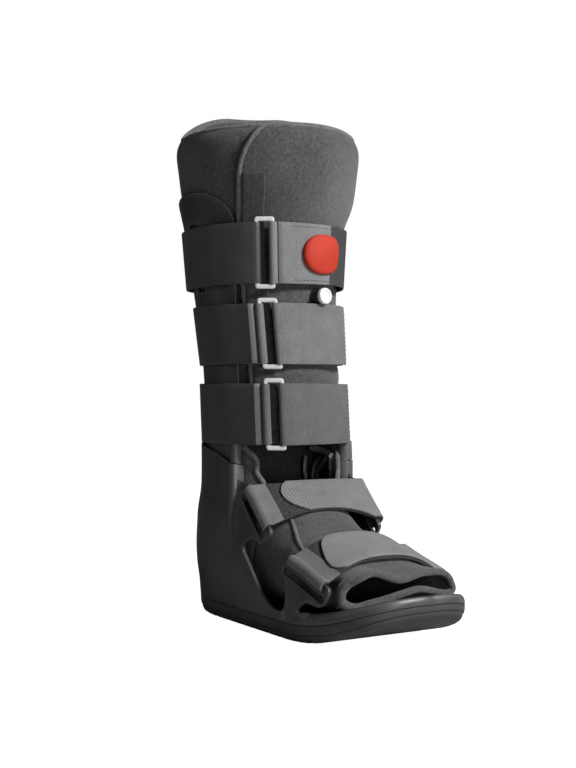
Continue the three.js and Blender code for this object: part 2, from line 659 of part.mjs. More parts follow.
// Radial stack at the rings, measured out from the liner
const RING_WRAP = RING_BAR / 2 + RING_CLEARANCE + STRAP_THICKNESS / 2;
const UNDER_RING = LINER_WALL + GAP + HOOK_STRIP_THICKNESS + 2 * CURVED_GAP;
const RING_OFFSET = UNDER_RING + STRAP_THICKNESS / 2 + RING_WRAP;
const OVER_UPRIGHT = UPRIGHT_WALL + 2.5 * CURVED_GAP + STRAP_THICKNESS / 2;

// Strap offset from the liner at an angle from the front, clear of uprights, flap and hook strip
function strapOffset(angle) {
  const front = UNDER_RING + STRAP_THICKNESS / 2;
  const toRight = smooth((FOLD_END_ANGLE + 6 - angle) / 34);
  const toLeft = smooth((angle + 78) / 30);
  return lerp(OVER_UPRIGHT, front, Math.min(toRight, toLeft));
}

// Point on a leg strap's own straight-sided section
function strapPoint(strap, angle, z, offset) {
  const top = legPoint(angle, strapTop(strap), offset);
  const bottom = legPoint(angle, strapBottom(strap), offset);
  const share = 1 - strap.taper * (strapTop(strap) - z) / LEG_STRAP_WIDTH;
  return bottom.lerp(top, share).setZ(z);
}

function ringFrame(strap, z) {
  const centre = strapPoint(strap, RING_ANGLE, z, RING_OFFSET);
  const before = strapPoint(strap, RING_ANGLE - 0.5, z, RING_OFFSET);
  const after = strapPoint(strap, RING_ANGLE + 0.5, z, RING_OFFSET);
  const across = after.sub(before).normalize();
  const out = new THREE.Vector3(across.y, -across.x, 0);
  return { centre, across, out };
}

function strapPath(strap, z) {
  const { centre, across, out } = ringFrame(strap, z);
  const bar = (RING_WIDTH - RING_BAR) / 2;
  const past = bar + RING_BAR / 2 + 1;
  const atRing = (tangent, radial) => centre.clone()
    .addScaledVector(across, tangent).addScaledVector(out, radial);
  const halfTurn = (sign) => Array.from({ length: 7 }, (_, k) => {
    const turn = rad(90 - 30 * k);
    return atRing(sign * (bar - RING_WRAP * Math.cos(turn)), RING_WRAP * Math.sin(turn));
  });
  const clearOfBar = (past + 2) / legSection(z).width * 180 / Math.PI;
  const foldStack = STRAP_THICKNESS + GAP;
  const path = [];
  for (let angle = FOLD_END_ANGLE; angle >= RING_ANGLE + clearOfBar + 8; angle -= 8) {
    path.push(strapPoint(strap, angle, z, strapOffset(angle) + foldStack));
  }
  path.push(atRing(past, RING_WRAP - 0.2), ...halfTurn(1));
  const innerStart = RING_ANGLE + clearOfBar;
  const leftEnd = RING_ANGLE - clearOfBar - 8;
  const sweep = 360 + leftEnd - innerStart;
  const steps = 42;
  for (let k = 0; k <= steps; k++) {
    const angle = innerStart + sweep * k / steps;
    const wrapped = angle > 180 ? angle - 360 : angle;
    const overEnd = angle > 180 ? foldStack * smooth((wrapped + 84) / 18) : 0;
    path.push(strapPoint(strap, angle, z, strapOffset(wrapped) + overEnd));
  }
  path.push(atRing(-past, RING_WRAP - 0.2), ...halfTurn(-1));
  for (const angle of [0, 5, 10].map((turn) => RING_ANGLE - clearOfBar - turn)) {
    path.push(strapPoint(strap, angle, z, strapOffset(angle)));
  }
  return path;
}

function legStrap(strap) {
  return loft([strapBottom(strap), strapTop(strap)].map((z) => (
    ribbon(strapPath(strap, z), STRAP_THICKNESS).map((p) => new THREE.Vector3(p.x, p.y, z)))));
}

// Rectangular ring with rounded ends, standing square to the leg
function ring(strap) {
  const z = (strapBottom(strap) + strapTop(strap)) / 2;
  const height = LEG_STRAP_WIDTH + 2 * (RING_CAP + RING_CLEARANCE);
  const frame = (width, tall, corner) => {
    const path = new THREE.Shape();
    path.moveTo(-width / 2 + corner, -tall / 2);
    path.lineTo(width / 2 - corner, -tall / 2);
    path.absarc(width / 2 - corner, -tall / 2 + corner, corner, -Math.PI / 2, 0);
    path.absarc(width / 2 - corner, tall / 2 - corner, corner, 0, Math.PI / 2);
    path.absarc(-width / 2 + corner, tall / 2 - corner, corner, Math.PI / 2, Math.PI);
    path.absarc(-width / 2 + corner, -tall / 2 + corner, corner, Math.PI, 1.5 * Math.PI);
    return path;
  };
  const shape = frame(RING_WIDTH, height, RING_BAR * 0.85);
  shape.holes.push(frame(RING_WIDTH - 2 * RING_BAR, LEG_STRAP_WIDTH + 2 * RING_CLEARANCE, RING_BAR / 3));
  const geometry = new THREE.ExtrudeGeometry(shape, { depth: RING_BAR, bevelEnabled: false, curveSegments: 3 });
  geometry.translate(0, 0, -RING_BAR / 2);
  const { centre, across } = ringFrame(strap, z);
  const low = ringFrame(strap, strapBottom(strap)).centre;
  const high = ringFrame(strap, strapTop(strap)).centre;
  const up = high.clone().sub(low).normalize();
  const facing = new THREE.Vector3().crossVectors(across, up).normalize();
  geometry.applyMatrix4(new THREE.Matrix4().makeBasis(across, up, facing));
  geometry.translate(centre.x, centre.y, centre.z);
  return geometry;
}

// Foot strap: sewn round the near bar, over the instep, round the far bar and back over itself
function footStrapSection(bracket, share) {
  const { length, at, out } = bracketFrame(bracket);
  const [baseY, baseZ] = at(lerp(STRAP_SIDE_PLAY, length - STRAP_SIDE_PLAY, share), 0);
  const crown = INSTEP_HEIGHT * lerp(bracket.rear.crown, bracket.front.crown, share);
  const half = STRAP_THICKNESS / 2;
  const outside = (lift) => plateX(baseY + out.x * lift, baseZ + out.y * lift) + CURVED_GAP + half;
  const through = SHELL_WALL + STRAP_THICKNESS + 2.33 * CURVED_GAP;
  const inside = (lift) => outside(lift) - through;
  const reach = inside(0) - half;
  const over = BAR_HALF_WIDTH + CURVED_GAP + half;
  const low = -SLOT_OFFSET;
  const nearLow = low + 0.9 * STRAP_THICKNESS;
  const high = BAR_HALF_WIDTH * 0.6;
  const stack = STRAP_THICKNESS + GAP;
  const arch = (x) => crown * (1 - Math.min(1, Math.abs(x) / reach) ** 2.2);
  const endX = -FOOT_STRAP_END - FOOT_STRAP_END_ROUND * Math.sqrt(1 - (2 * share - 1) ** 2);
  const overInstep = [-0.87, -0.64, -0.41, -0.165, 0.08, 0.33, 0.58, 0.785].map((part) => part * reach);
  const route = [
    [-inside(-high), -high], [-inside(nearLow), nearLow], [-inside(low) - 1, low], [1 - outside(low), low],
    [-outside(nearLow), nearLow], [-outside(high), high],
    [-outside(0) + 0.4 * half, over - 0.4 * half], [-outside(0) + 2 * half, over],
    ...overInstep.map((x) => [x, over]),
    [inside(0) - 2.5 * half, over - half], [inside(0) - 0.3 * half, high],
    [inside(nearLow), nearLow], [inside(low) + 1, low], [outside(low) - 1, low],
    [outside(nearLow), nearLow], [outside(high), high],
    [outside(0) - 0.8 * half, over], [outside(0) - 2.7 * half, over + stack],
    ...overInstep.slice(2).reverse().map((x) => [x, over + stack]), [endX, over + stack],
  ];
  const flat = route.map(([x, lift]) => new THREE.Vector2(x, lift + arch(x)));
  return ribbon(flat, STRAP_THICKNESS).map((p) => {
    const lift = p.y - arch(p.x);
    return new THREE.Vector3(p.x, baseY + out.x * lift, baseZ + out.y * lift + arch(p.x));
  });
}

// Outer face of the shell's bracket plate at a point of the side view
function plateX(y, z) {
  let level = z - SHELL_BASE;
  for (let pass = 0; pass < 4; pass++) level = z - SHELL_BASE - rocker(y) * rockerShare(level);
  const height = level / SHELL_HEIGHT;
  const ball = SOLE_HALF_WIDTH * sampleTable(SHELL_LEVELS, 'height', height, 'ball');
  const heelShape = sampleTable(SHELL_LEVELS, 'height', height, 'heelWidth');
  return outlineHalfWidth(ball, lerp(SOLE_HALF_WIDTH, ANKLE_HALF_WIDTH, heelShape), y);
}

function footStrap(bracket) {
  return loft([0, 0.12, 0.5, 0.88, 1].map((share) => footStrapSection(bracket, share)), ['x', 'z']);
}

// Pump bulb: rubber dome on the upper strap
function pumpBulb() {
  const strap = UPPER_STRAP;
  const z = (strapBottom(strap) + strapTop(strap)) / 2;
  const offset = strapOffset(PUMP_ANGLE) + STRAP_THICKNESS * 1.5 + 2 * GAP;
  const root = -2 * PUMP_EDGE;
  const profile = [[0, root], [PUMP_RADIUS, root], [PUMP_RADIUS, PUMP_EDGE]];
  const steps = 6;
  for (let k = 1; k < steps; k++) {
    const turn = rad(90 * k / steps);
    profile.push([PUMP_RADIUS * Math.cos(turn) ** 0.75, PUMP_EDGE + (PUMP_HEIGHT - PUMP_EDGE) * Math.sin(turn)]);
  }
  profile.push([0, PUMP_HEIGHT]);
  const dome = new THREE.LatheGeometry(profile.map(([r, h]) => new THREE.Vector2(r, h)), 24);
  const at = (angle, height) => strapPoint(strap, angle, height, offset);
  const centre = at(PUMP_ANGLE, z);
  const across = at(PUMP_ANGLE + 1, z).sub(at(PUMP_ANGLE - 1, z)).normalize();
  const up = at(PUMP_ANGLE, z + 5).sub(at(PUMP_ANGLE, z - 5)).normalize();
  const out = new THREE.Vector3().crossVectors(across, up).normalize();
  dome.applyMatrix4(new THREE.Matrix4().makeBasis(across, out, up.negate()));
  dome.translate(centre.x, centre.y, centre.z);
  const seat = solid(loft([-2 * PUMP_RADIUS, 2 * PUMP_RADIUS].map((dz) => (
    Array.from({ length: 45 }, (_, k) => at(8 * k, z + dz))))));
  return geometryOf(solid(dome).subtract(seat));
}

function legFrame(angle, z, offset) {
  const centre = legPoint(angle, z, offset);
  const across = legPoint(angle + 1, z, offset).sub(legPoint(angle - 1, z, offset)).normalize();
  const up = legPoint(angle, z + 5, offset).sub(legPoint(angle, z - 5, offset)).normalize();
  const out = new THREE.Vector3().crossVectors(across, up).normalize();
  return { centre, across, up, out };
}

// Valve: round body on the front of the liner, with a white cap
function valvePiece(radius, from, length) {
  const { centre, out } = legFrame(VALVE_ANGLE, VALVE_Z, flapRise(VALVE_ANGLE));
  const piece = new THREE.CylinderGeometry(radius, radius, length, 20);
  const turn = new THREE.Quaternion().setFromUnitVectors(new THREE.Vector3(0, 1, 0), out);
  piece.applyQuaternion(turn);
  const middle = centre.clone().addScaledVector(out, from + length / 2);
  piece.translate(middle.x, middle.y, middle.z);
  return piece;
}

const boot = new THREE.Group();
boot.name = 'walking_boot';
addMesh(boot, 'outsole', outsole(), rubber);
addMesh(boot, 'foot_shell', footShell(), plastic);
for (const panel of UPRIGHTS) addMesh(boot, `upright_${panel.name}`, upright(panel), plastic);
addMesh(boot, 'leg_liner', legLiner(), fabric);
addMesh(boot, 'foot_liner', footLiner(), fabric);
addMesh(boot, 'hook_strip', hookStrip(), hook);
for (const strap of LEG_STRAPS) {
  addMesh(boot, `leg_strap_${strap.name}`, legStrap(strap), webbing);
  addMesh(boot, `strap_ring_${strap.name}`, ring(strap), ringPlastic);
}
for (const bracket of BRACKETS) {
  addMesh(boot, `foot_strap_${bracket.name}`, footStrap(bracket), webbing);
}
addMesh(boot, 'pump_bulb', pumpBulb(), pumpRubber);
const valveEnd = CURVED_GAP + VALVE_LENGTH;
addMesh(boot, 'valve_body', valvePiece(VALVE_BODY_RADIUS, CURVED_GAP, VALVE_LENGTH), valveBlack);
addMesh(boot, 'valve_cap', valvePiece(VALVE_CAP_RADIUS, valveEnd + GAP, VALVE_CAP_LENGTH), valveWhite);

export default boot;
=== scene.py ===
import math
import bmesh
import bpy
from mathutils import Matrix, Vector
from mathutils.geometry import delaunay_2d_cdt


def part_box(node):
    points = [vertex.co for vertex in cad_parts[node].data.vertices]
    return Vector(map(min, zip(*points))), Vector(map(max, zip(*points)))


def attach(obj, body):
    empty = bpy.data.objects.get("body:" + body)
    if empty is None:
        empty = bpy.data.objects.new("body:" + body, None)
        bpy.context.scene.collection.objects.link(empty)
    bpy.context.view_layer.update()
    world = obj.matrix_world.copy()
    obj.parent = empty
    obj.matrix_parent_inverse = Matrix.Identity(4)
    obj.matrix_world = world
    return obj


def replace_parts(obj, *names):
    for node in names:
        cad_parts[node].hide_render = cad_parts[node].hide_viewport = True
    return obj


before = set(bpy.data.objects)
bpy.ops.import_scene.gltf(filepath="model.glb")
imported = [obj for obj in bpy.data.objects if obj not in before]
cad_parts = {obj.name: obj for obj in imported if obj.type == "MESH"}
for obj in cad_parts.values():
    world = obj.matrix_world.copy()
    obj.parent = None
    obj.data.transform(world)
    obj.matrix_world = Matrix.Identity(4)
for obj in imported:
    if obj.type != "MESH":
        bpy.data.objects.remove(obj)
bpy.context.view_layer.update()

# Outsole: one moulding of black rubber, flat in the middle and sprung at the toe and heel.
# A thin parting groove runs round its side above a slightly narrower tread, and cross grooves
# cut the underside, so they show as notches along the bottom edge.
MM = 0.001
sole_low, sole_high = [Vector(corner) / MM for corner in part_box("outsole")]
shell_low = Vector(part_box("foot_shell")[0]) / MM
TOE_REACH = -sole_low.y
HEEL_REACH = sole_high.y
SOLE_HALF_WIDTH = sole_high.x
ANKLE_Y = 66
BALL_Y = -70
TOE_ROUNDNESS = 2.9
HEEL_ROUNDNESS = 2.3
HEEL_LENGTH = HEEL_REACH - ANKLE_Y
SHELL_BASE = shell_low.z
SOLE_THICKNESS = SHELL_BASE - 0.3
TOE_SPRING = sole_high.z - SOLE_THICKNESS
TOE_SPRING_START = 0.78
HEEL_LIFT = 5
HEEL_LIFT_START = 0.51
SOLE_TOE_TAPER = 6
GROOVE_WIDTH = 3.4
GROOVE_DEPTH = 3
GROOVE_COUNT = 9
GROOVE_PITCH = 21
GROOVE_OFFSET = 6
GROOVE_MIDDLES = [GROOVE_OFFSET + (i - (GROOVE_COUNT - 1) / 2) * GROOVE_PITCH for i in range(GROOVE_COUNT)]
GROOVE_SIDE_RUN = 0.12
SOLE_STEPS = 120

# Height above the sole's underside, and inset from its outline, from the bottom edge up
SOLE_LEVELS = [
    (0.0, 5.2), (0.35, 3.9), (1.0, 2.9), (2.0, 2.2), (3.0, 1.8), (4.4, 1.5), (5.2, 1.4), (5.5, 1.8),
    (5.9, 1.8), (6.2, 0.9), (6.8, 0.5), (8.5, 0.25), (11, 0.1), (13.2, 0.05), (13.7, 0.25), (14.0, 0.7),
]


def lerp(a, b, t):
    return a + (b - a) * t


def clamp01(t):
    return min(1, max(0, t))


def smooth(t):
    return clamp01(t) ** 2 * (3 - 2 * clamp01(t))


def along_y(along, heel_length=HEEL_LENGTH):
    """Place along the boot: 0 at the ankle, 1 at the heel, -1 at the ball, -2 at the toe."""
    if along >= 0:
        return ANKLE_Y + heel_length * along
    if along >= -1:
        return lerp(ANKLE_Y, BALL_Y, -along)
    return lerp(BALL_Y, -TOE_REACH, -along - 1)


def toe_share(y):
    """How far a place lies along the sprung toe, from 0 to 1."""
    start = along_y(-TOE_SPRING_START)
    return clamp01((start - y) / (start + TOE_REACH))


def heel_share(y):
    """How far a place lies along the raised heel, from 0 to 1."""
    start = along_y(HEEL_LIFT_START)
    return clamp01((y - start) / (HEEL_REACH - start))


def rocker(y):
    """Rise of the sole's underside above the floor."""
    return TOE_SPRING * toe_share(y) ** 2 + HEEL_LIFT * heel_share(y) ** 2


def plan_xy(turn, ball, heel, heel_length=HEEL_LENGTH, inset=0):
    """Point on half the foot outline: turn 0 is the toe tip, 1 the ball, 2 the ankle, 3 the heel."""
    if turn <= 1:
        corner = math.pi / 2 * (1 - turn)
        length = TOE_REACH + BALL_Y - inset
        across = (ball - inset) * max(0, math.cos(corner)) ** (2 / TOE_ROUNDNESS)
        return across, BALL_Y - length * math.sin(corner) ** (2 / TOE_ROUNDNESS)
    if turn <= 2:
        return lerp(ball, heel, turn - 1) - inset, lerp(BALL_Y, ANKLE_Y, turn - 1)
    corner = math.pi / 2 * (turn - 2)
    across = (heel - inset) * max(0, math.cos(corner)) ** (2 / HEEL_ROUNDNESS)
    return across, ANKLE_Y + (heel_length - inset) * math.sin(corner) ** (2 / HEEL_ROUNDNESS)


PLAN_STEPS = 2400
plan_points = [
    Vector(plan_xy(3 * step / PLAN_STEPS, SOLE_HALF_WIDTH, SOLE_HALF_WIDTH))
    for step in range(PLAN_STEPS + 1)
]
plan_lengths = [0.0]
for before, after in zip(plan_points, plan_points[1:]):
    plan_lengths.append(plan_lengths[-1] + (after - before).length)
HALF_OUTLINE = plan_lengths[-1]


def lookup(values, target):
    """Fractional place of a target in a list of rising values."""
    low, high = 0, len(values) - 1
    while high - low > 1:
        middle = (low + high) // 2
        if values[middle] <= target:
            low = middle
        else:
            high = middle
    return low + clamp01((target - values[low]) / max(values[high] - values[low], 1e-9))


def turn_at(length):
    """Turn of the outline at a length along it from the toe tip."""
    return 3 * lookup(plan_lengths, length) / PLAN_STEPS


def length_at_y(y):
    place = lookup([point.y for point in plan_points], y)
    whole = min(int(place), PLAN_STEPS - 1)
    return lerp(plan_lengths[whole], plan_lengths[whole + 1], place - whole)


def make_piece(name, points, faces):
    """Mesh object from points in millimetres, riding on the boot's one body."""
    mesh = bpy.data.meshes.new(name)
    mesh.from_pydata([Vector(point) * MM for point in points], [], faces)
    mesh.update()
    piece = bpy.data.objects.new(name, mesh)
    bpy.context.scene.collection.objects.link(piece)
    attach(piece, "root")
    return piece


def weld(piece, merge=0.01):
    """Joins doubled points and turns every face outwards."""
    work = bmesh.new()
    work.from_mesh(piece.data)
    bmesh.ops.remove_doubles(work, verts=work.verts, dist=merge * MM)
    bmesh.ops.dissolve_degenerate(work, edges=work.edges, dist=0.002 * MM)
    bmesh.ops.recalc_face_normals(work, faces=work.faces)
    work.to_mesh(piece.data)
    work.free()


def settle(piece, sharp_from=40):
    """Applies the modifiers and shades the piece smooth up to an angle in degrees."""
    bpy.context.view_layer.update()
    shaped = piece.evaluated_get(bpy.context.evaluated_depsgraph_get())
    mesh = bpy.data.meshes.new_from_object(shaped)
    piece.modifiers.clear()
    piece.data = mesh
    mesh.shade_smooth()
    mesh.set_sharp_from_angle(angle=math.radians(sharp_from))


def ladder(first, half, flip=False):
    """Quads across a mirrored outline whose half has that many points, ends on the mid-line."""
    count = 2 * half - 2
    faces = []
    for i in range(half - 1):
        a, b = first + i, first + i + 1
        c, d = first + (count - i - 1) % count, first + (count - i) % count
        face = [a, b, c, d]
        face = [v for k, v in enumerate(face) if v not in face[:k]]
        if len(face) > 2:
            faces.append(face[::-1] if flip else face)
    return faces


def mirrored(half_points):
    """Half outline from the toe tip to the heel, and back along the other side."""
    return half_points + [(-x, y, z) for x, y, z in reversed(half_points[1:-1])]


def ring_walls(rings, around):
    """Quads between closed rings of points that follow one another."""
    faces = []
    for base in range(0, (rings - 1) * around, around):
        for k in range(around):
            after = (k + 1) % around
            faces.append((base + k, base + after, base + after + around, base + k + around))
    return faces


def in_groove(y):
    return any(abs(y - middle) < GROOVE_WIDTH / 2 for middle in GROOVE_MIDDLES)


groove_cuts = [
    length_at_y(middle + edge + run) for middle in GROOVE_MIDDLES
    for edge in (-GROOVE_WIDTH / 2, GROOVE_WIDTH / 2) for run in (-GROOVE_SIDE_RUN, GROOVE_SIDE_RUN)
]
sole_lengths = sorted(groove_cuts + [HALF_OUTLINE * k / SOLE_STEPS for k in range(SOLE_STEPS + 1)])


def sole_ring(height, inset):
    half = []
    for length in sole_lengths:
        x, y = plan_xy(turn_at(length), SOLE_HALF_WIDTH, SOLE_HALF_WIDTH, inset=inset)
        own = max(height, GROOVE_DEPTH) if in_groove(y) else height
        taper = SOLE_TOE_TAPER * toe_share(y) ** 3 * (1 - own / SOLE_THICKNESS)
        half.append((x, y, rocker(y) + own + taper))
    return mirrored(half)


sole_points = []
for height, inset in SOLE_LEVELS:
    sole_points += sole_ring(height, inset)
sole_around = 2 * len(sole_lengths) - 2
sole_faces = ladder(0, len(sole_lengths), True) + ring_walls(len(SOLE_LEVELS), sole_around)
sole_faces += ladder((len(SOLE_LEVELS) - 1) * sole_around, len(sole_lengths))
sole = make_piece("sole_rubber", sole_points, sole_faces)
weld(sole)
settle(sole, 32)
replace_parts(sole, "outsole")


def new_group(name, inputs, outputs):
    """Shader node group with named float or colour sockets; returns its tree, input and output."""
    tree = bpy.data.node_groups.new(name, "ShaderNodeTree")
    for socket, kind, value in inputs:
        made = tree.interface.new_socket(socket, in_out="INPUT", socket_type=kind)
        made.default_value = value
    for socket, kind in outputs:
        tree.interface.new_socket(socket, in_out="OUTPUT", socket_type=kind)
    return tree, tree.nodes.new("NodeGroupInput"), tree.nodes.new("NodeGroupOutput")


def add_node(tree, kind, links=(), **values):
    """Node with its properties or sockets set by name, and links given as (socket, source)."""
    node = tree.nodes.new(kind)
    for key, value in values.items():
        if hasattr(node, key):
            setattr(node, key, value)
        else:
            node.inputs[key.replace("_", " ")].default_value = value
    for socket, source in links:
        tree.links.new(source, node.inputs[socket])
    return node


def mix_colour(tree, factor, low, high):
    node = tree.nodes.new("ShaderNodeMix")
    node.data_type = "RGBA"
    tree.links.new(factor, node.inputs[0])
    for index, value in ((6, low), (7, high)):
        if isinstance(value, tuple):
            node.inputs[index].default_value = value
        else:
            tree.links.new(value, node.inputs[index])
    return node.outputs[2]


def spread(tree, source, low, high, to_low=0.0, to_high=1.0):
    """Part of a value's range stretched over another."""
    node = add_node(tree, "ShaderNodeMapRange", [("Value", source)])
    for socket, value in (("From Min", low), ("From Max", high), ("To Min", to_low), ("To Max", to_high)):
        node.inputs[socket].default_value = value
    return node.outputs[0]


def calculate(tree, operation, *sources):
    """Output of a maths node that is fed by the given outputs."""
    return add_node(tree, "ShaderNodeMath", list(enumerate(sources)), operation=operation).outputs[0]


COLOUR = "NodeSocketColor"
NUMBER = "NodeSocketFloat"
moulding, given, result = new_group(
    "moulded_surface",
    [("Colour", COLOUR, (0.02, 0.02, 0.02, 1)), ("Cloud And Highlight", COLOUR, (0.06, 0.06, 0.06, 1)),
     ("Grain", NUMBER, 900.0), ("Low Roughness", NUMBER, 0.4), ("High Roughness", NUMBER, 0.6)],
    [("Color", COLOUR), ("Roughness", NUMBER), ("Height", NUMBER)])
place = add_node(moulding, "ShaderNodeTexCoord")
grain = add_node(moulding, "ShaderNodeTexNoise",
                 [("Vector", place.outputs["Object"]), ("Scale", given.outputs["Grain"])], Detail=3.0)
cloud = add_node(moulding, "ShaderNodeTexNoise", [("Vector", place.outputs["Object"])],
                 Scale=38.0, Detail=5.0, Roughness=0.62)
edge = add_node(moulding, "ShaderNodeAttribute", attribute_name="edge")
# Painted highlight: near marked edges the colour is lightened, unevenly, towards the second colour.
edge_highlight = calculate(moulding, "MULTIPLY", edge.outputs["Fac"],
                   spread(moulding, cloud.outputs[0], 0.3, 0.65, 0.45, 1.0))
tinted = mix_colour(moulding, spread(moulding, cloud.outputs[0], 0.35, 0.7, 0.0, 0.22),
                    given.outputs["Colour"], given.outputs["Cloud And Highlight"])
moulding.links.new(mix_colour(moulding, edge_highlight, tinted, given.outputs["Cloud And Highlight"]), result.inputs["Color"])
gloss = add_node(moulding, "ShaderNodeMapRange",
                 [("Value", grain.outputs[0]), ("To Min", given.outputs["Low Roughness"]),
                  ("To Max", given.outputs["High Roughness"])])
moulding.links.new(gloss.outputs[0], result.inputs["Roughness"])
moulding.links.new(grain.outputs[0], result.inputs["Height"])


def principled(name, **constants):
    """Material with one Principled shader; constants are set on its own sockets."""
    material = bpy.data.materials.new(name)
    material.use_nodes = True
    shader = material.node_tree.nodes["Principled BSDF"]
    for key, value in constants.items():
        shader.inputs[key.replace("_", " ")].default_value = value
    return material, material.node_tree, shader


def surfaced_material(name, group, settings, relief, **constants):
    """Material whose colour, bump and, where it has one, roughness come from a node group."""
    material, tree, shader = principled(name, **constants)
    surface = tree.nodes.new("ShaderNodeGroup")
    surface.node_tree = group
    for socket, value in settings.items():
        surface.inputs[socket].default_value = value
    tree.links.new(surface.outputs["Color"], shader.inputs["Base Color"])
    if surface.outputs.get("Roughness"):
        tree.links.new(surface.outputs["Roughness"], shader.inputs["Roughness"])
    bump = add_node(tree, "ShaderNodeBump", [("Height", surface.outputs["Height"])],
                    Distance=relief * MM, Strength=1.0)
    tree.links.new(bump.outputs[0], shader.inputs["Normal"])
    return material


def moulded_material(name, colour, cloud_and_highlight_colour, grain_size, roughness, relief, **constants):
    """Moulded rubber or plastic: fine grain, faint clouding and a painted highlight on marked edges."""
    return surfaced_material(name, moulding, {
        "Colour": colour, "Cloud And Highlight": cloud_and_highlight_colour, "Grain": 1 / (grain_size * MM),
        "Low Roughness": roughness[0], "High Roughness": roughness[1]}, relief, **constants)


rubber = moulded_material("boot_rubber", (0.038, 0.039, 0.041, 1), (0.1, 0.102, 0.105, 1),
                          0.9, (0.55, 0.8), 0.12, Specular_IOR_Level=0.4)
sole.data.materials.append(rubber)

# Foot shell: one thin black plastic moulding. It cups the heel, steps in to four slotted strap
# brackets, is cut down in a notch between them, and ends in a low rim round the toe. The sole
# board inside it is drawn as a slab of its own.
SHELL_WALL = 3
SHELL_FLOOR = 3.6
SHELL_HEIGHT = 150
INSTEP_HEIGHT = 117
RIM_HEIGHT = 9.2
BAR_HALF_WIDTH = 2.7
BAR_END = 5
SLOT_OFFSET = 8.5
SLOT_HALF_WIDTH = 3
BRACKET_ROOT = 5
ANKLE_HALF_WIDTH = 63.6
ANKLE_HEEL_LENGTH = 69
SHELL_LEVELS = [
    (0, 1.0, 0, 0), (0.107, 0.985, 0.42, -0.2), (0.187, 0.955, 0.92, -0.4), (0.307, 0.9, 1.25, -0.4),
    (0.48, 0.805, 1.17, 0.2), (0.693, 0.68, 1, 1), (0.947, 0.62, 1, 1),
]
SHELL_TOP_EDGE = [(0.9, 0.0), (0.6, 0.003), (0.26, 0.02), (-0.04, 0.053), (-0.17, 0.093), (-0.243, 0.113)]
SHELL_NOTCH = [
    (-0.427, 0.641), (-0.331, 0.564), (-0.456, 0.41), (-0.544, 0.291), (-0.61, 0.231),
    (-0.691, 0.192), (-0.779, 0.187), (-0.816, 0.209), (-0.831, 0.308),
]
BRACKETS = {
    "rear": ((-0.34, 0.983, 0.005), (-0.582, 0.709, 0.085)),
    "front": ((-0.823, 0.532, 0.115), (-1.332, 0.403, 0.128)),
}
STEP_BACK_Y = 36
STEP_FRONT_Y = 30
STEP_GUIDES_Y = (28.6, 30, 31.2, 32.4, 33.6, 34.8, 36, 37.4)
STEP_LOW_RISE = 30
STEP_FADE = 45
STEP_DEPTH_LEFT = 0.12
TOP_WALL = 1.9
TOP_DRAW_IN = 1.6
TOP_THIN_START = 72
TOP_THIN_RUN = 28
RIM_LEAN = 2.4
RIM_LEAN_Y = -62
RIM_LEAN_START = 5.4
RIM_LEAN_FADE = 14


def table_value(table, column, key):
    """Value of a column at a key in the first column, on a smooth curve through the rows."""
    keys = [row[0] for row in table]
    if key <= keys[0]:
        return table[0][column]
    if key >= keys[-1]:
        return table[-1][column]
    i = next(k for k in range(len(keys) - 1) if keys[k + 1] > key)

    def slope(k):
        if k == 0 or k == len(table) - 1:
            near = min(k, len(table) - 2)
            return (table[near + 1][column] - table[near][column]) / (keys[near + 1] - keys[near])
        return (table[k + 1][column] - table[k - 1][column]) / (keys[k + 1] - keys[k - 1])

    width = keys[i + 1] - keys[i]
    t = (key - keys[i]) / width
    a, b = table[i][column], table[i + 1][column]
    first, second = slope(i) * width, slope(i + 1) * width
    return (a * (1 + 2 * t) * (1 - t) ** 2 + first * t * (1 - t) ** 2
            + b * t * t * (3 - 2 * t) + second * t * t * (t - 1))


def rocker_share(rise):
    """Share of the sole's curve that the shell follows at a rise above its base."""
    return 1 - smooth(rise / (SHELL_HEIGHT * 0.4))


def shell_sizes(rise):
    """Half-widths of the shell at the ball and the heel, and its length behind the ankle."""
    share = rise / SHELL_HEIGHT
    ball = SOLE_HALF_WIDTH * table_value(SHELL_LEVELS, 1, share)
    heel = lerp(SOLE_HALF_WIDTH, ANKLE_HALF_WIDTH, table_value(SHELL_LEVELS, 2, share))
    heel_length = lerp(HEEL_LENGTH, ANKLE_HEEL_LENGTH, table_value(SHELL_LEVELS, 3, share))
    return ball, heel, heel_length


def thinned(rise):
    """How far the wall has thinned out towards its top, from 0 to 1."""
    return smooth((rise - TOP_THIN_START) / TOP_THIN_RUN)


def shell_point(length, rise, inset=0):
    """Point on the shell's outside at a length from the toe tip and a rise above its base."""
    ball, heel, heel_length = shell_sizes(rise)
    x, y = plan_xy(turn_at(length), ball, heel, heel_length, inset)
    if STEP_FRONT_Y - 8 < y < ANKLE_Y and rise > STEP_LOW_RISE:
        ankle_x = lerp(heel, x + inset, STEP_DEPTH_LEFT) - inset
        cupped = smooth((y - STEP_FRONT_Y) / (STEP_BACK_Y - STEP_FRONT_Y))
        x = lerp(x, ankle_x, cupped * smooth((rise - STEP_LOW_RISE) / STEP_FADE))
    if rise < RIM_HEIGHT + 0.2 and y < RIM_LEAN_Y:
        lean = RIM_LEAN * smooth((rise - RIM_LEAN_START) / (RIM_HEIGHT - RIM_LEAN_START))
        lean *= smooth((RIM_LEAN_Y - y) / RIM_LEAN_FADE)
        x, y = plan_xy(turn_at(length), ball, heel, heel_length, inset + lean)
    drawn_in = TOP_DRAW_IN * thinned(rise)
    x -= drawn_in * smooth((y - 10) / 15) * clamp01(x / 30)
    y -= drawn_in * smooth((y - ANKLE_Y) / 60)
    return x, y, rise + SHELL_BASE + rocker(y) * rocker_share(rise)


def rise_at(y, z):
    """Rise above the shell's base at a point of the side view, with the sole's curve taken off."""
    rise = z - SHELL_BASE
    for _ in range(5):
        rise = z - SHELL_BASE - rocker(y) * rocker_share(rise)
    return rise


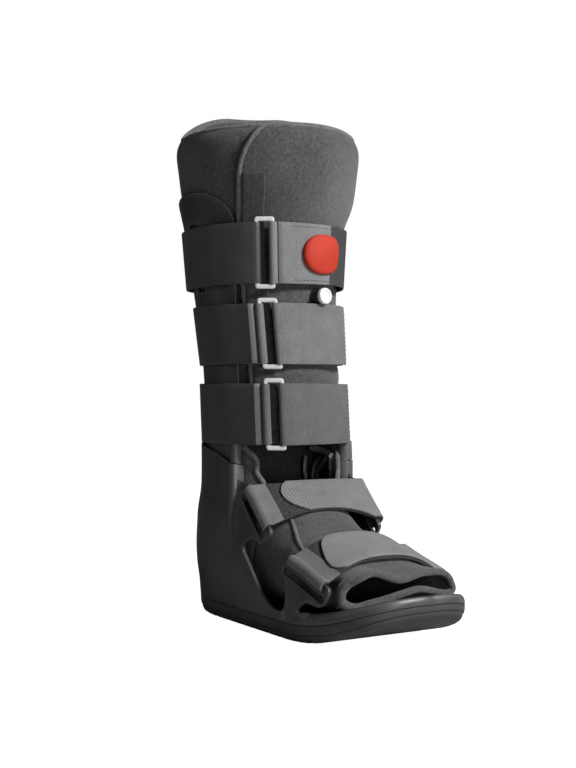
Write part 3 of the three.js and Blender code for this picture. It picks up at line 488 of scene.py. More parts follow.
def shell_flat(y, z):
    """Length and rise of the shell at a point of the side view."""
    rise = rise_at(y, z)
    heel_length = shell_sizes(rise)[2]
    if y > ANKLE_Y:
        y = ANKLE_Y + (y - ANKLE_Y) * HEEL_LENGTH / heel_length
    return length_at_y(min(y, HEEL_REACH)), rise


def bracket_frame(name):
    """A bracket's bar in the side view: its length, and points along it and out from it."""
    (rear_along, rear_height, _), (front_along, front_height, _) = BRACKETS[name]
    start = Vector((along_y(rear_along), rear_height * INSTEP_HEIGHT))
    end = Vector((along_y(front_along), front_height * INSTEP_HEIGHT))
    along = (end - start).normalized()
    out = Vector((along.y, -along.x))
    return (end - start).length, out, lambda distance, offset: start + along * distance + out * offset


def rounded(points, radius, steps=5):
    """Open outline with every inner corner rounded off."""
    result = [Vector(points[0])]
    for before, corner, after in zip(points, points[1:], points[2:]):
        corner = Vector(corner)
        to_before, to_after = Vector(before) - corner, Vector(after) - corner
        reach = min(radius, to_before.length * 0.48, to_after.length * 0.48)
        first = corner + to_before.normalized() * reach
        last = corner + to_after.normalized() * reach
        for k in range(steps + 1):
            t = k / steps
            result.append(first * (1 - t) ** 2 + corner * 2 * t * (1 - t) + last * t * t)
    result.append(Vector(points[-1]))
    return result


def resampled(points, pitch):
    """Outline with points no further apart than a pitch."""
    result = [points[0]]
    for before, after in zip(points, points[1:]):
        count = max(1, math.ceil((after - before).length / pitch))
        result += [before.lerp(after, k / count) for k in range(1, count + 1)]
    return result


def inside(point, outline):
    x, y = point
    found = False
    for a, b in zip(outline, outline[1:] + outline[:1]):
        if (a[1] > y) != (b[1] > y) and x < (b[0] - a[0]) * (y - a[1]) / (b[1] - a[1]) + a[0]:
            found = not found
    return found


def flat_sheet(outline, holes, pitch, guides=()):
    """Triangles that fill a flat outline with holes, with guide points and a staggered grid in it."""
    loops = [outline] + holes
    coords = [Vector(p) for loop in loops for p in loop]
    edges = []
    first = 0
    for loop in loops:
        edges += [(first + k, first + (k + 1) % len(loop)) for k in range(len(loop))]
        first += len(loop)
    low = Vector((min(p[0] for p in outline), min(p[1] for p in outline)))
    high = Vector((max(p[0] for p in outline), max(p[1] for p in outline)))
    border = list(coords)
    for p in guides:
        if inside(p, outline) and not any(inside(p, hole) for hole in holes):
            if min((p - q).length_squared for q in border) > (0.4 * pitch) ** 2:
                coords.append(p)
    border = list(coords)
    row_height = pitch * 0.866
    for row in range(int((high.y - low.y) / row_height) + 1):
        for column in range(int((high.x - low.x) / pitch) + 2):
            p = Vector((low.x + (column - 0.5 * (row % 2)) * pitch, low.y + row * row_height))
            if inside(p, outline) and not any(inside(p, hole) for hole in holes):
                if min((p - q).length_squared for q in border) > (0.55 * pitch) ** 2:
                    coords.append(p)
    points, _, faces, _, _, _ = delaunay_2d_cdt(coords, edges, [list(range(len(outline)))], 1, 1e-5)
    kept = []
    for face in faces:
        middle = sum((points[v] for v in face), Vector((0, 0))) / len(face)
        if inside(middle, outline) and not any(inside(middle, hole) for hole in holes):
            kept.append(face)
    return points, kept


def shell_outline():
    """Inner boundary of the shell in the side view, from the top of the heel to the toe rim."""
    rear_length, _, rear = bracket_frame("rear")
    front_length, _, front = bracket_frame("front")
    edge = BAR_HALF_WIDTH
    root = -SLOT_OFFSET - BRACKET_ROOT
    top = [(along_y(along, ANKLE_HEEL_LENGTH), SHELL_HEIGHT * (1 - dip)) for along, dip in SHELL_TOP_EDGE]
    neck_z = rear(-BAR_END, edge).y
    notch = [(along_y(along), height * INSTEP_HEIGHT) for along, height in SHELL_NOTCH]
    under_y = along_y(-1.05)
    return rounded(top + [
        (top[-1][0], neck_z), rear(-BAR_END, edge / 4), rear(-BAR_END * 0.6, edge),
        rear(rear_length + BAR_END * 0.6, edge), rear(rear_length + BAR_END, edge / 4),
        rear(rear_length + BAR_END * 1.1, -SLOT_OFFSET), rear(rear_length + BAR_END * 0.7, root),
        *notch, front(BAR_END * 0.4, root - 2), front(-BAR_END, -SLOT_OFFSET), front(-BAR_END, edge / 4),
        front(-BAR_END * 0.6, edge), front(front_length + BAR_END * 0.6, edge),
        front(front_length + BAR_END * 1.1, 0), front(front_length + BAR_END * 1.1, -SLOT_OFFSET - 2),
        front(front_length, root - 1.5),
        (under_y, SHELL_BASE + 2 * RIM_HEIGHT + rocker(under_y)),
        (along_y(-0.93), SHELL_BASE + RIM_HEIGHT + rocker(along_y(-0.93))),
        (along_y(-1.1), SHELL_BASE + RIM_HEIGHT + rocker(along_y(-1.1))),
    ], 6)


def slot_loop(name):
    """Outline of a bracket's strap slot, laid out flat."""
    length, _, at = bracket_frame(name)
    loop = []
    for distance, first in ((0, 90), (length, -90)):
        for k in range(9):
            turn = math.radians(first + 22.5 * k)
            loop.append(at(distance + SLOT_HALF_WIDTH * math.cos(turn),
                           -SLOT_OFFSET + SLOT_HALF_WIDTH * math.sin(turn)))
    loop = resampled(loop + loop[:1], 2.5)[:-1]
    return [Vector(shell_flat(p[0], p[1])) for p in loop]


edge_line = [Vector(shell_flat(p[0], p[1])) for p in resampled(shell_outline(), 2.2)]
edge_line = [p for p in edge_line if p.x < HALF_OUTLINE - 0.5]
rim_end = edge_line[-1].x
rim_count = math.ceil(rim_end / 2.6)
rim_line = [Vector((rim_end * (1 - k / rim_count), RIM_HEIGHT)) for k in range(1, rim_count + 1)]
base_count = math.ceil(HALF_OUTLINE / 3)
base_line = [Vector((HALF_OUTLINE * k / base_count, 0)) for k in range(base_count + 1)]
heel_top = edge_line[0].y
heel_line = [Vector((HALF_OUTLINE, heel_top * k / 34)) for k in range(1, 35)]
toe_line = [Vector((0, RIM_HEIGHT * k / 3)) for k in (2, 1)]
shell_border = base_line + heel_line + edge_line[1:] + rim_line + toe_line
step_guides = [Vector(shell_flat(y, z)) for y in STEP_GUIDES_Y for z in range(48, 150, 3)]
flat_points, flat_faces = flat_sheet(shell_border, [slot_loop("rear"), slot_loop("front")], 4, step_guides)
shell_points = [shell_point(p.x, p.y) for p in flat_points]
shell_faces = [list(face) for face in flat_faces]
shell_points += [(-x, y, z) for x, y, z in shell_points]
shell_faces += [[v + len(flat_points) for v in reversed(face)] for face in shell_faces]


def round_edges(piece, radius, segments, sharper_than):
    """Rounds the edges that are sharper than an angle in degrees."""
    soft = piece.modifiers.new("edge", "BEVEL")
    soft.width = radius * MM
    soft.segments = segments
    soft.limit_method = "ANGLE"
    soft.angle_limit = math.radians(sharper_than)


def walled(piece, thickness, edge_round, rounds=3, thinner=""):
    """Gives a sheet its wall, thinner by a vertex group, and rounds the edges of the wall."""
    wall = piece.modifiers.new("wall", "SOLIDIFY")
    wall.vertex_group = thinner
    wall.thickness = thickness * MM
    wall.offset = -1
    wall.use_even_offset = True
    wall.thickness_clamp = 0
    round_edges(piece, edge_round, rounds, 50)


def mark_edge_highlight(piece, reach):
    """Stores how near each point is to a sharp bend or rim, for a painted highlight on edges in the
    material.
    """
    mesh = piece.data
    work = bmesh.new()
    work.from_mesh(mesh)
    work.verts.ensure_lookup_table()
    near = {}
    for vert in work.verts:
        angles = [edge.calc_face_angle(0) for edge in vert.link_edges if len(edge.link_faces) == 2]
        near[vert.index] = clamp01((max(angles, default=0) - 0.12) / reach)
    work.free()
    layer = mesh.attributes.get("edge") or mesh.attributes.new("edge", "FLOAT", "POINT")
    layer.data.foreach_set("value", [near[k] for k in range(len(mesh.vertices))])


shell = make_piece("shell_moulding", shell_points, shell_faces)
weld(shell)
wall_share = shell.vertex_groups.new(name="wall_share")
for vert in shell.data.vertices:
    thin = thinned(vert.co.z / MM - SHELL_BASE)
    wall_share.add([vert.index], lerp(1, TOP_WALL / SHELL_WALL, thin), "REPLACE")
walled(shell, SHELL_WALL, 0.9, thinner="wall_share")
settle(shell, 50)
mark_edge_highlight(shell, 0.5)
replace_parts(shell, "foot_shell")

FLOOR_PLAY = 2.6
BOARD_STEPS = 90
board_points = []
for height in (0.1, SHELL_FLOOR):
    half = []
    for k in range(BOARD_STEPS + 1):
        turn = turn_at(HALF_OUTLINE * k / BOARD_STEPS)
        x, y = plan_xy(turn, SOLE_HALF_WIDTH, SOLE_HALF_WIDTH, inset=FLOOR_PLAY)
        half.append((x, y, SHELL_BASE + height + rocker(y)))
    board_points += mirrored(half)
board_around = 2 * BOARD_STEPS
board_faces = ladder(0, BOARD_STEPS + 1, True) + ladder(board_around, BOARD_STEPS + 1)
board_faces += ring_walls(2, board_around)
board = make_piece("shell_sole_board", board_points, board_faces)
weld(board)
settle(board)
# The plastic's second colour serves both its clouding and the painted highlight on marked edges.
shell_plastic = moulded_material("boot_plastic", (0.0135, 0.0138, 0.0145, 1), (0.11, 0.112, 0.115, 1),
                                 0.55, (0.36, 0.52), 0.05, Specular_IOR_Level=0.6)
for moulded in (shell, board):
    moulded.data.materials.append(shell_plastic)

# Front lips: the shell and each calf panel are moulded with a thin lip that turns in across the
# front of the ankle. The shell's lip narrows downwards, and the two meet at a seam on each side.
FLANGE_WALL = 1.6
# Painted highlight over the whole lip: every point is lightened at least this far towards the highlight
# colour.
FLANGE_HIGHLIGHT = 0.6
FLANGE_PROUD = 0.25
# How far in across the front each point of the lip's section lies, and its y
FLANGE_SECTION = [
    (0, 39), (0.1, 37), (0.2, 35.2), (0.9, 33.2), (2.2, 32.2), (5, 32.4), (8, 32.8), (11, 33.3),
]
FLANGE_DEPTH = FLANGE_SECTION[-1][0]
FLANGE_SIDE_Y = FLANGE_SECTION[0][1]
SEAM_Z = 133
SEAM_SLOPE = 1.6
SEAM_SLOPE_BELOW = 3
# Height on the shell's lip, and how far in it reaches there as a share of its full depth
SHELL_FLANGE_REACH = [(92, 0.2), (98, 0.32), (106, 0.5), (112, 0.78), (116, 0.97), (120, 1.0), (132.6, 1.0)]
SHELL_FLANGE_STEPS = 22
PANEL_FLANGE_Z = (133.6, 149.6)
PANEL_FLANGE_STEPS = 8
PANEL_FLANGE_REACH = 0.62
PANEL_FLANGE_SET_IN = 0.9
PANEL_FLANGE_LEAN = 0.04


def grid_faces(rows, columns):
    return [(r * columns + c, r * columns + c + 1, (r + 1) * columns + c + 1, (r + 1) * columns + c)
            for r in range(rows - 1) for c in range(columns - 1)]


def front_flange(name, side, levels):
    """Moulded lip that turns in across the front edge; levels hold height, half-width and reach."""
    points = []
    for z, half_width, reach in levels:
        for inward, y in FLANGE_SECTION:
            slope = SEAM_SLOPE * (1 - inward / FLANGE_DEPTH) if z > SEAM_Z - SEAM_SLOPE_BELOW else 0
            points.append((side * (half_width - inward * reach), y, z + slope))
    faces = grid_faces(len(levels), len(FLANGE_SECTION))
    lip = make_piece(name, points, [face if side < 0 else face[::-1] for face in faces])
    walled(lip, FLANGE_WALL, 0.5)
    settle(lip, 50)
    mark_edge_highlight(lip, 0.4)
    # Painted highlight: the whole lip is lightened, not only its edges.
    for value in lip.data.attributes["edge"].data:
        value.value = max(value.value, FLANGE_HIGHLIGHT)
    lip.data.materials.append(shell_plastic)
    return lip


def ankle_half_width(z):
    return shell_point(*shell_flat(FLANGE_SIDE_Y, z))[0] + FLANGE_PROUD


for side_name, side in (("left", -1), ("right", 1)):
    levels = []
    for k in range(SHELL_FLANGE_STEPS + 1):
        z = lerp(SHELL_FLANGE_REACH[0][0], SHELL_FLANGE_REACH[-1][0], k / SHELL_FLANGE_STEPS)
        levels.append((z, ankle_half_width(z), table_value(SHELL_FLANGE_REACH, 1, z)))
    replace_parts(front_flange("shell_flange_" + side_name, side, levels), "foot_shell")
    levels = []
    for k in range(PANEL_FLANGE_STEPS + 1):
        z = lerp(*PANEL_FLANGE_Z, k / PANEL_FLANGE_STEPS)
        half_width = ankle_half_width(SEAM_Z) - PANEL_FLANGE_SET_IN - PANEL_FLANGE_LEAN * (z - SEAM_Z)
        levels.append((z, half_width, PANEL_FLANGE_REACH))
    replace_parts(front_flange("calf_panel_flange_" + side_name, side, levels), "upright_" + side_name)

# Padded leg liner: a foam and felt wrap with one flap laid over the other. Its edges are bound
# with a rolled strip, it is drawn in under each strap, flares at the calf, and is cut away at
# the front of the ankle.
CALF_HALF_WIDTH = 57
CALF_HALF_DEPTH = 62
LINER_WALL = 5
LINER_SEAM_Z = 100
LEG_HEIGHT = 416
COLLAR_RISE = 36
COLLAR_PEAK_ANGLE = 158
COLLAR_PEAK_HALF_ANGLE = 15
COLLAR_FADE_ANGLE = 85
COLLAR_START = 0.74
FLAP_EDGE_ANGLE = -49
FLAP_UNDER_ANGLE = -8
FLAP_RISE_START = 38
FLAP_CORNER_Z = 372
FLAP_CORNER_TURN = 15
CUFF_TOP = 150
WRAP_BOTTOM = 147
FRONT_BOTTOM = 153
FRONT_CUT = 6
FRONT_CUT_ANGLE = 62
# The padding swells on the side away from the rings: above the upper strap, and between the straps
SWELL_ANGLE = 78
TOP_SWELL = 8.5
TOP_SWELL_SPREAD = 38
TOP_SWELL_Z = 352
TOP_SWELL_RISE = 26
STRAP_SWELL = 5.5
STRAP_SWELL_SPREAD = 30
STRAP_SWELL_Z = (165, 330)
STRAP_SWELL_FADE = 40
LEG_LEVELS = [
    (0, 0.985, 1.0, 0), (0.16, 0.985, 0.99, 0.016), (0.32, 0.985, 0.99, 0.08), (0.45, 0.995, 1.0, 0.18),
    (0.55, 1.035, 1.04, 0.26), (0.67, 1.1, 1.1, 0.32), (0.765, 1.19, 1.18, 0.32), (0.835, 1.3, 1.3, 0.26),
    (0.91, 1.37, 1.37, 0.225), (0.965, 1.4, 1.4, 0.225), (1.0, 1.35, 1.35, 0.225),
]
LEG_STRAP_WIDTH = 50.8
STRAP_BOTTOMS = {"lower": 150.8, "middle": 218.15, "upper": 285.5}


def leg_point(angle, z, offset, lift=0):
    """Point outside the leg liner at an angle from the front, a height and an offset from it."""
    share = (z - LINER_SEAM_Z) / (LEG_HEIGHT - LINER_SEAM_Z)
    width, depth, back = [table_value(LEG_LEVELS, column, share) for column in (1, 2, 3)]
    turn = math.radians(angle)
    return Vector(((CALF_HALF_WIDTH * width + offset) * math.sin(turn),
                   ANKLE_Y + CALF_HALF_DEPTH * (back - depth * math.cos(turn)) - offset * math.cos(turn),
                   z + lift))


def flap_rise(angle):
    """How far the outer flap lies out over the hidden one."""
    if angle < FLAP_EDGE_ANGLE or angle > FLAP_RISE_START:
        return 0
    spread_over = FLAP_RISE_START - FLAP_UNDER_ANGLE - 4
    return (LINER_WALL + 0.3) * smooth((FLAP_RISE_START - angle) / spread_over)


def turn_between(angle, other):
    """Smallest angle between two directions, in degrees."""
    return abs((angle - other + 180) % 360 - 180)


def collar_top(angle):
    """Height of the liner's top edge, which rises to a peak at the back."""
    faded = smooth((turn_between(angle, COLLAR_PEAK_ANGLE) - COLLAR_PEAK_HALF_ANGLE) / COLLAR_FADE_ANGLE)
    return LEG_HEIGHT + COLLAR_RISE * (1 - faded)


def strap_squeeze(z):
    """How far the straps press into the padding at a height, from 0 to 1."""
    pressed = 0
    for bottom in STRAP_BOTTOMS.values():
        inside_band = min(z - bottom, bottom + LEG_STRAP_WIDTH - z)
        pressed = max(pressed, smooth((inside_band + 4) / 8))
    return pressed


def flap_edge_at(z):
    """Angle of the outer flap's edge: straight, then rounded back at its top corner."""
    return FLAP_EDGE_ANGLE + FLAP_CORNER_TURN * clamp01((z - FLAP_CORNER_Z) / 44) ** 2.2


def wave(*turns):
    """Mean of the sines of some turns, for uneven padding."""
    return sum(math.sin(turn) for turn in turns) / len(turns)


def liner_surface(place, share, side):
    """Middle of the padding: place 0 is the hidden flap's end and 1 the outer flap's edge."""
    z = lerp(WRAP_BOTTOM, LEG_HEIGHT, share)
    angle = lerp(FLAP_UNDER_ANGLE, flap_edge_at(z) - 360, place)
    wrapped = angle + 360 if angle < -180 else angle
    from_front = turn_between(wrapped, 0)
    if from_front < FRONT_CUT_ANGLE:
        z = max(z, FRONT_BOTTOM - FRONT_CUT + FRONT_CUT * smooth((FRONT_CUT_ANGLE - from_front) / 8))
    rise = flap_rise(wrapped) if angle < -180 else 0
    puff = 0.9 * (1 - strap_squeeze(z)) * wave(angle * 0.07 + z * 0.05, angle * 0.031 - z * 0.083)
    roll = -1.4 * smooth((share - 0.975) / 0.025)
    from_swell = turn_between(wrapped, SWELL_ANGLE)
    top_swell = TOP_SWELL * math.exp(-(from_swell / TOP_SWELL_SPREAD) ** 2)
    puff += top_swell * math.exp(-((z - TOP_SWELL_Z) / TOP_SWELL_RISE) ** 2)
    strap_swell = STRAP_SWELL * math.exp(-(from_swell / STRAP_SWELL_SPREAD) ** 2) * (1 - strap_squeeze(z))
    low, high = STRAP_SWELL_Z
    puff += strap_swell * smooth((z - low) / STRAP_SWELL_FADE) * smooth((high - z) / STRAP_SWELL_FADE)
    lift = clamp01((share - COLLAR_START) / (1 - COLLAR_START)) * (collar_top(angle) - LEG_HEIGHT)
    return leg_point(wrapped, z, rise - LINER_WALL / 2 + puff * 0.6 + roll + side, lift)


def pad(piece, thickness):
    """Turns a sheet into a pad with soft round edges."""
    padding = piece.modifiers.new("padding", "SOLIDIFY")
    padding.thickness = thickness * MM
    padding.offset = 0
    softened = piece.modifiers.new("soft", "SUBSURF")
    softened.levels = 1
    settle(piece, 180)


LINER_COLUMNS = 150
LINER_ROWS = 74
liner_points = [
    liner_surface(c / (LINER_COLUMNS - 1), r / (LINER_ROWS - 1), 0)
    for r in range(LINER_ROWS) for c in range(LINER_COLUMNS)
]
liner = make_piece("leg_liner_padding", liner_points, grid_faces(LINER_ROWS, LINER_COLUMNS))
pad(liner, LINER_WALL - 0.6)
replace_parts(liner, "leg_liner")


def tube(name, path, radius, sides=10, closed=False):
    """Round piping sewn along a path: a closed loop, or with flat ends."""
    points = []
    count = len(path)
    for k, point in enumerate(path):
        before = path[(k - 1) % count] if closed else path[max(0, k - 1)]
        after = path[(k + 1) % count] if closed else path[min(count - 1, k + 1)]
        along = (Vector(after) - Vector(before)).normalized()
        if k > 0:
            side = side - along * side.dot(along)
        if k == 0 or side.length < 0.2:
            side = along.cross(Vector((0, 0, 1)))
            if side.length < 0.2:
                side = along.cross(Vector((0, 1, 0)))
        side.normalize()
        up = side.cross(along).normalized()
        for s in range(sides):
            turn = 2 * math.pi * s / sides
            beside = Vector(point) + side * (radius * math.cos(turn))
            points.append(beside + up * (radius * math.sin(turn)))
    faces = [[v % len(points) for v in face] for face in ring_walls(count + int(closed), sides)]
    if not closed:
        faces += [tuple(range(sides))[::-1], tuple(range((count - 1) * sides, count * sides))]
    piece = make_piece(name, points, faces)
    weld(piece)
    settle(piece, 60)
    return piece


BINDING_RADIUS = 2.9
binding_path = []
for r in range(0, LINER_ROWS - 1):
    binding_path.append(liner_surface(1.0, r / (LINER_ROWS - 1), 0.1))
for c in range(LINER_COLUMNS - 1, -1, -1):
    binding_path.append(liner_surface(c / (LINER_COLUMNS - 1), 1.0, 0.1))
binding = tube("leg_liner_binding", binding_path, BINDING_RADIUS)

# Ankle cuff: the lower end of the wrap, open at the front between two bound edges that lean back
# towards the top. Inside it, loose folds of the lining show on the far wall, pale partly from painted light,
# and a thick felt welt fills the corner behind the far lip.
CUFF_EDGES = [(98, 43), (116, 45), (125, 48), (138, 52), (145, 58), (151, 66)]
CUFF_COLUMNS = 110
CUFF_ROWS = 20
CUFF_BINDING_LIFT = 1.7
FAR_WELT_RADIUS = 4.2
FAR_WELT_PATH = [Vector((46.6, 28, z)) for z in (152, 140, 120, 100)]
# Loose folds of the lining on the far side's inner face: tube radius, then angle and height along each
LINING_FOLDS = [
    (2.4, [(60, 136), (61, 126), (60, 116), (58, 106)]),
    (2.3, [(74, 136), (85, 131), (93, 124), (96, 115), (97, 106)]),
    (1.9, [(90, 135), (97, 131), (101, 125), (102, 117), (102, 107)]),
    (1.6, [(112, 136), (113, 129), (113.5, 122), (111, 114), (110, 106)]),
    (2.6, [(104, 143), (92, 142), (78, 141), (64, 139.5), (54, 138)]),
]
FOLD_SET_IN = 2.5


def cuff_surface(place, share, lift=0):
    """Middle of the cuff's padding: place runs from its near edge at 0 round the back to 1."""
    z = lerp(LINER_SEAM_Z, CUFF_TOP, share)
    edge_angle = table_value(CUFF_EDGES, 1, z) + 1.6 * math.sin(z * 0.31)
    angle = lerp(-edge_angle, edge_angle - 360, place)
    near_edge = 1 - smooth(min(place, 1 - place) / 0.05)
    puff = 0.8 * wave(angle * 0.16, z * 0.14 + angle * 0.05)
    return leg_point(angle, z, -LINER_WALL / 2 - 0.3 + puff * 0.5 - 1.4 * near_edge + lift)


cuff_points = [cuff_surface(c / (CUFF_COLUMNS - 1), r / (CUFF_ROWS - 1))
               for r in range(CUFF_ROWS) for c in range(CUFF_COLUMNS)]
cuff = make_piece("ankle_cuff", cuff_points, grid_faces(CUFF_ROWS, CUFF_COLUMNS))
pad(cuff, LINER_WALL - 0.8)
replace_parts(cuff, "leg_liner")
cuff_bindings = []
for side_name, place in (("near", 0), ("far", 1)):
    cuff_edge = [cuff_surface(place, r / (CUFF_ROWS - 1), CUFF_BINDING_LIFT) for r in range(CUFF_ROWS)]
    cuff_bindings.append(tube("cuff_binding_" + side_name, cuff_edge, BINDING_RADIUS - 0.6))
lining_folds = []
for number, (radius, stations) in enumerate(LINING_FOLDS):
    steps = 5 * (len(stations) - 1)
    fold_path = []
    for k in range(steps + 1):
        at = k / steps * (len(stations) - 1)
        before = min(int(at), len(stations) - 2)
        angle = lerp(stations[before][0], stations[before + 1][0], at - before)
        z = lerp(stations[before][1], stations[before + 1][1], at - before)
        fold_path.append(leg_point(angle, z, -LINER_WALL - FOLD_SET_IN))
    lining_folds.append(tube(f"cuff_fold_{number + 1}", fold_path, radius))
far_welt = tube("cuff_far_welt", FAR_WELT_PATH, FAR_WELT_RADIUS)

felt, given, result = new_group(
    "heathered_felt",
    [("Dark", COLOUR, (0.02, 0.02, 0.02, 1)), ("Light", COLOUR, (0.1, 0.1, 0.1, 1)),
     ("Fibre", NUMBER, 900.0)],
    [("Color", COLOUR), ("Height", NUMBER)])
place = add_node(felt, "ShaderNodeTexCoord")
fibres = add_node(felt, "ShaderNodeTexNoise",
                  [("Vector", place.outputs["Object"]), ("Scale", given.outputs["Fibre"])],
                  Detail=4.0, Roughness=0.75)
flecks = add_node(felt, "ShaderNodeTexNoise", [("Vector", place.outputs["Object"])],
                  Scale=330.0, Detail=6.0, Roughness=0.8)
patches = add_node(felt, "ShaderNodeTexNoise", [("Vector", place.outputs["Object"])],
                   Scale=24.0, Detail=3.0)
speckle = calculate(felt, "ADD", spread(felt, fibres.outputs[0], 0.38, 0.64, 0, 0.5),
                    spread(felt, flecks.outputs[0], 0.4, 0.62, 0, 0.5))
felted = mix_colour(felt, speckle, given.outputs["Dark"], given.outputs["Light"])
shade = add_node(felt, "ShaderNodeMix", data_type="RGBA", blend_type="MULTIPLY")
shade.inputs[0].default_value = 1.0
felt.links.new(felted, shade.inputs[6])
tone = spread(felt, patches.outputs[0], 0.3, 0.7, 0.82, 1.12)
felt.links.new(tone, shade.inputs[7])
felt.links.new(shade.outputs[2], result.inputs["Color"])
felt.links.new(speckle, result.inputs["Height"])


def felt_material(name, dark, light, fibre, relief, sheen=0.25):
    """Brushed felt or loop cloth: dark and light fibres with a soft nap."""
    return surfaced_material(name, felt, {
        "Dark": dark, "Light": light, "Fibre": 1 / (fibre * MM),
    }, relief, Roughness=0.95, Specular_IOR_Level=0.15, Sheen_Weight=sheen, Sheen_Roughness=0.5)


liner_felt = felt_material("liner_felt", (0.030, 0.031, 0.032, 1), (0.115, 0.117, 0.12, 1), 0.8, 0.35)
binding_felt = felt_material("binding_felt", (0.06, 0.061, 0.062, 1), (0.2, 0.203, 0.207, 1), 0.7, 0.25)
liner.data.materials.append(liner_felt)
cuff.data.materials.append(liner_felt)
far_welt.data.materials.append(liner_felt)
for bound in (binding, *cuff_bindings):
    bound.data.materials.append(binding_felt)
# Painted light: the folds' pale colour partly stands for light reaching them inside the cuff.
pale_lining_painted_light = felt_material("pale_lining_painted_light", (0.2, 0.203, 0.207, 1), (0.5, 0.505, 0.51, 1), 0.7, 0.2)
for fold in lining_folds:
    fold.data.materials.append(pale_lining_painted_light)

# Calf uprights: thin curved plastic panels outside the liner, one each side, with a round top and
# a slot that the upper strap covers. Low down their front edge curls in to meet the lip, and their
# lower ends go into the shell.
UPRIGHT_WALL = 2.5
UPRIGHT_PLAY = 0.6
UPRIGHT_BOTTOM = 93
UPRIGHT_TOP = 366
UPRIGHT_BACK_ANGLE = 136
UPRIGHT_FRONT_LEAN = 16.5
UPRIGHT_ROUND_TOP = 34
UPRIGHT_TOP_ROUNDNESS = 2.4
UPRIGHT_TOP_STEPS = 40
UPRIGHT_SIDE_STEPS = 50
EDGE_CURL = 6
EDGE_CURL_ANGLE = 9
EDGE_CURL_Z = 178
EDGE_CURL_FADE = 24
UPRIGHT_SLOT_ANGLE = 94
UPRIGHT_SLOT_HALF = 6.5
UPRIGHT_SLOT_Z = (282, 340)
# Name, side and angle of the front edge at the top
UPRIGHTS = (("left", -1, 50.5), ("right", 1, 57.5))


def upright_front(front_angle, z):
    return front_angle + UPRIGHT_FRONT_LEAN * clamp01((UPRIGHT_TOP - z) / UPRIGHT_TOP * 1.5)


def upright_sheet(side, front_angle):
    """Points and faces of one panel's outer face."""
    arc = []
    for k in range(UPRIGHT_TOP_STEPS + 1):
        across = -math.cos(math.pi * k / UPRIGHT_TOP_STEPS)
        fall = 1 - math.sqrt(1 - min(0.999, abs(across)) ** UPRIGHT_TOP_ROUNDNESS)
        z = UPRIGHT_TOP - UPRIGHT_ROUND_TOP * fall
        arc.append(Vector((lerp(UPRIGHT_BACK_ANGLE, upright_front(front_angle, z), (1 + across) / 2), z)))
    side_steps = range(UPRIGHT_SIDE_STEPS + 1)
    heights = [lerp(UPRIGHT_BOTTOM, arc[-1].y, k / UPRIGHT_SIDE_STEPS) for k in side_steps]
    front = [Vector((upright_front(front_angle, z), z)) for z in reversed(heights)]
    back = [Vector((UPRIGHT_BACK_ANGLE, z)) for z in heights]
    bottom = resampled([front[-1], back[0]], 4)
    outline = arc[:-1] + front[:-1] + bottom[:-1] + back[:-1]
    half = math.degrees(UPRIGHT_SLOT_HALF / CALF_HALF_WIDTH)
    low, high = UPRIGHT_SLOT_Z
    corners = [(-half, low), (half, low), (half, high), (-half, high), (-half, low)]
    slot = resampled([Vector((UPRIGHT_SLOT_ANGLE + a, z)) for a, z in corners], 3)[:-1]
    flat, faces = flat_sheet(outline, [slot], 5)
    points = []
    for p in flat:
        past_edge = p.x - upright_front(front_angle, p.y)
        curl = EDGE_CURL * (1 - clamp01(past_edge / EDGE_CURL_ANGLE)) ** 2
        curl *= smooth((EDGE_CURL_Z - p.y) / EDGE_CURL_FADE)
        points.append(leg_point(side * p.x, p.y, UPRIGHT_PLAY + UPRIGHT_WALL - curl))
    return points, [face if side < 0 else face[::-1] for face in faces]


for side_name, side, front_angle in UPRIGHTS:
    points, faces = upright_sheet(side, front_angle)
    panel = make_piece("calf_panel_" + side_name, points, faces)
    if panel.data.polygons[0].normal.x * side < 0:
        panel.data.flip_normals()
    walled(panel, UPRIGHT_WALL, 0.8)
    settle(panel, 50)
    mark_edge_highlight(panel, 0.4)
    panel.data.materials.append(shell_plastic)
    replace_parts(panel, "upright_" + side_name)

# Foot liner: the padded felt bootee inside the shell. It closes over the instep with its own bound
# flap, and ends at the toes in a thick soft mouth. The mouth's upper lip sags in the middle, and a
# thinner pad hangs from its lower lip down behind the toe rim.
FOOT_ROUNDNESS = 2.3
FOOT_SIDE_HEIGHT = 22
FOOT_STATIONS = [
    (-1.583, 0.912, 0.5), (-1.452, 0.86, 0.534), (-1.345, 0.781, 0.547), (-1.048, 0.798, 0.603),
    (-0.831, 0.825, 0.663), (-0.706, 0.842, 0.727), (-0.596, 0.816, 0.803), (-0.471, 0.833, 0.906),
    (-0.353, 0.877, 1.0), (-0.25, 0.909, 1.41), (-0.132, 0.951, 1.5), (0, 0.975, 1.5),
    (0.261, 0.935, 1.5), (0.493, 0.821, 1.5), (0.667, 0.667, 1.5), (0.797, 0.465, 1.5), (0.877, 0.21, 1.5),
]
FOOT_COLUMNS = 97
MOUTH_Y = along_y(FOOT_STATIONS[0][0])
# Across and height of the middle of the padding round the mouth: its upper lip and its lower lip
MOUTH_TOP = [
    (-50, 41), (-49, 45.4), (-46, 50), (-42, 53.8), (-36, 57.6), (-27, 59.6), (-12, 54.9), (-3, 52.5),
    (5, 53.1), (16, 55.9), (28, 56.4), (38, 55.4), (46, 50.5), (50, 42),
]
MOUTH_BOTTOM = [
    (-50, 41), (-49, 37.4), (-46, 34.4), (-41, 32.8), (-36, 32.6), (-27, 36.9), (-17, 38.6), (-5, 40.9),
    (4, 42.7), (15, 44.1), (28, 42), (37, 39.6), (46, 38.9), (50, 42),
]
MOUTH_TOP_DEPTH = 34
MOUTH_BOTTOM_DEPTH = 24
MOUTH_SET_BACK = 8.5
MOUTH_BINDING_RADIUS = 2.8
LIP_COLUMNS = 61
LIP_ROWS = 7
LIP_WALL = 3.4
LIP_HALF_WIDTH = 48.5
LIP_SET_BACK = 8
FOOT_WINDOW_Y = 19
# Station and turn of the instep flap's edge, at its upper and its lower end
FLAP_EDGE = ((-0.46, 0.83), (-0.99, 0.655))
FLAP_EDGE_STEPS = 25
FLAP_BINDING_RADIUS = 1.7


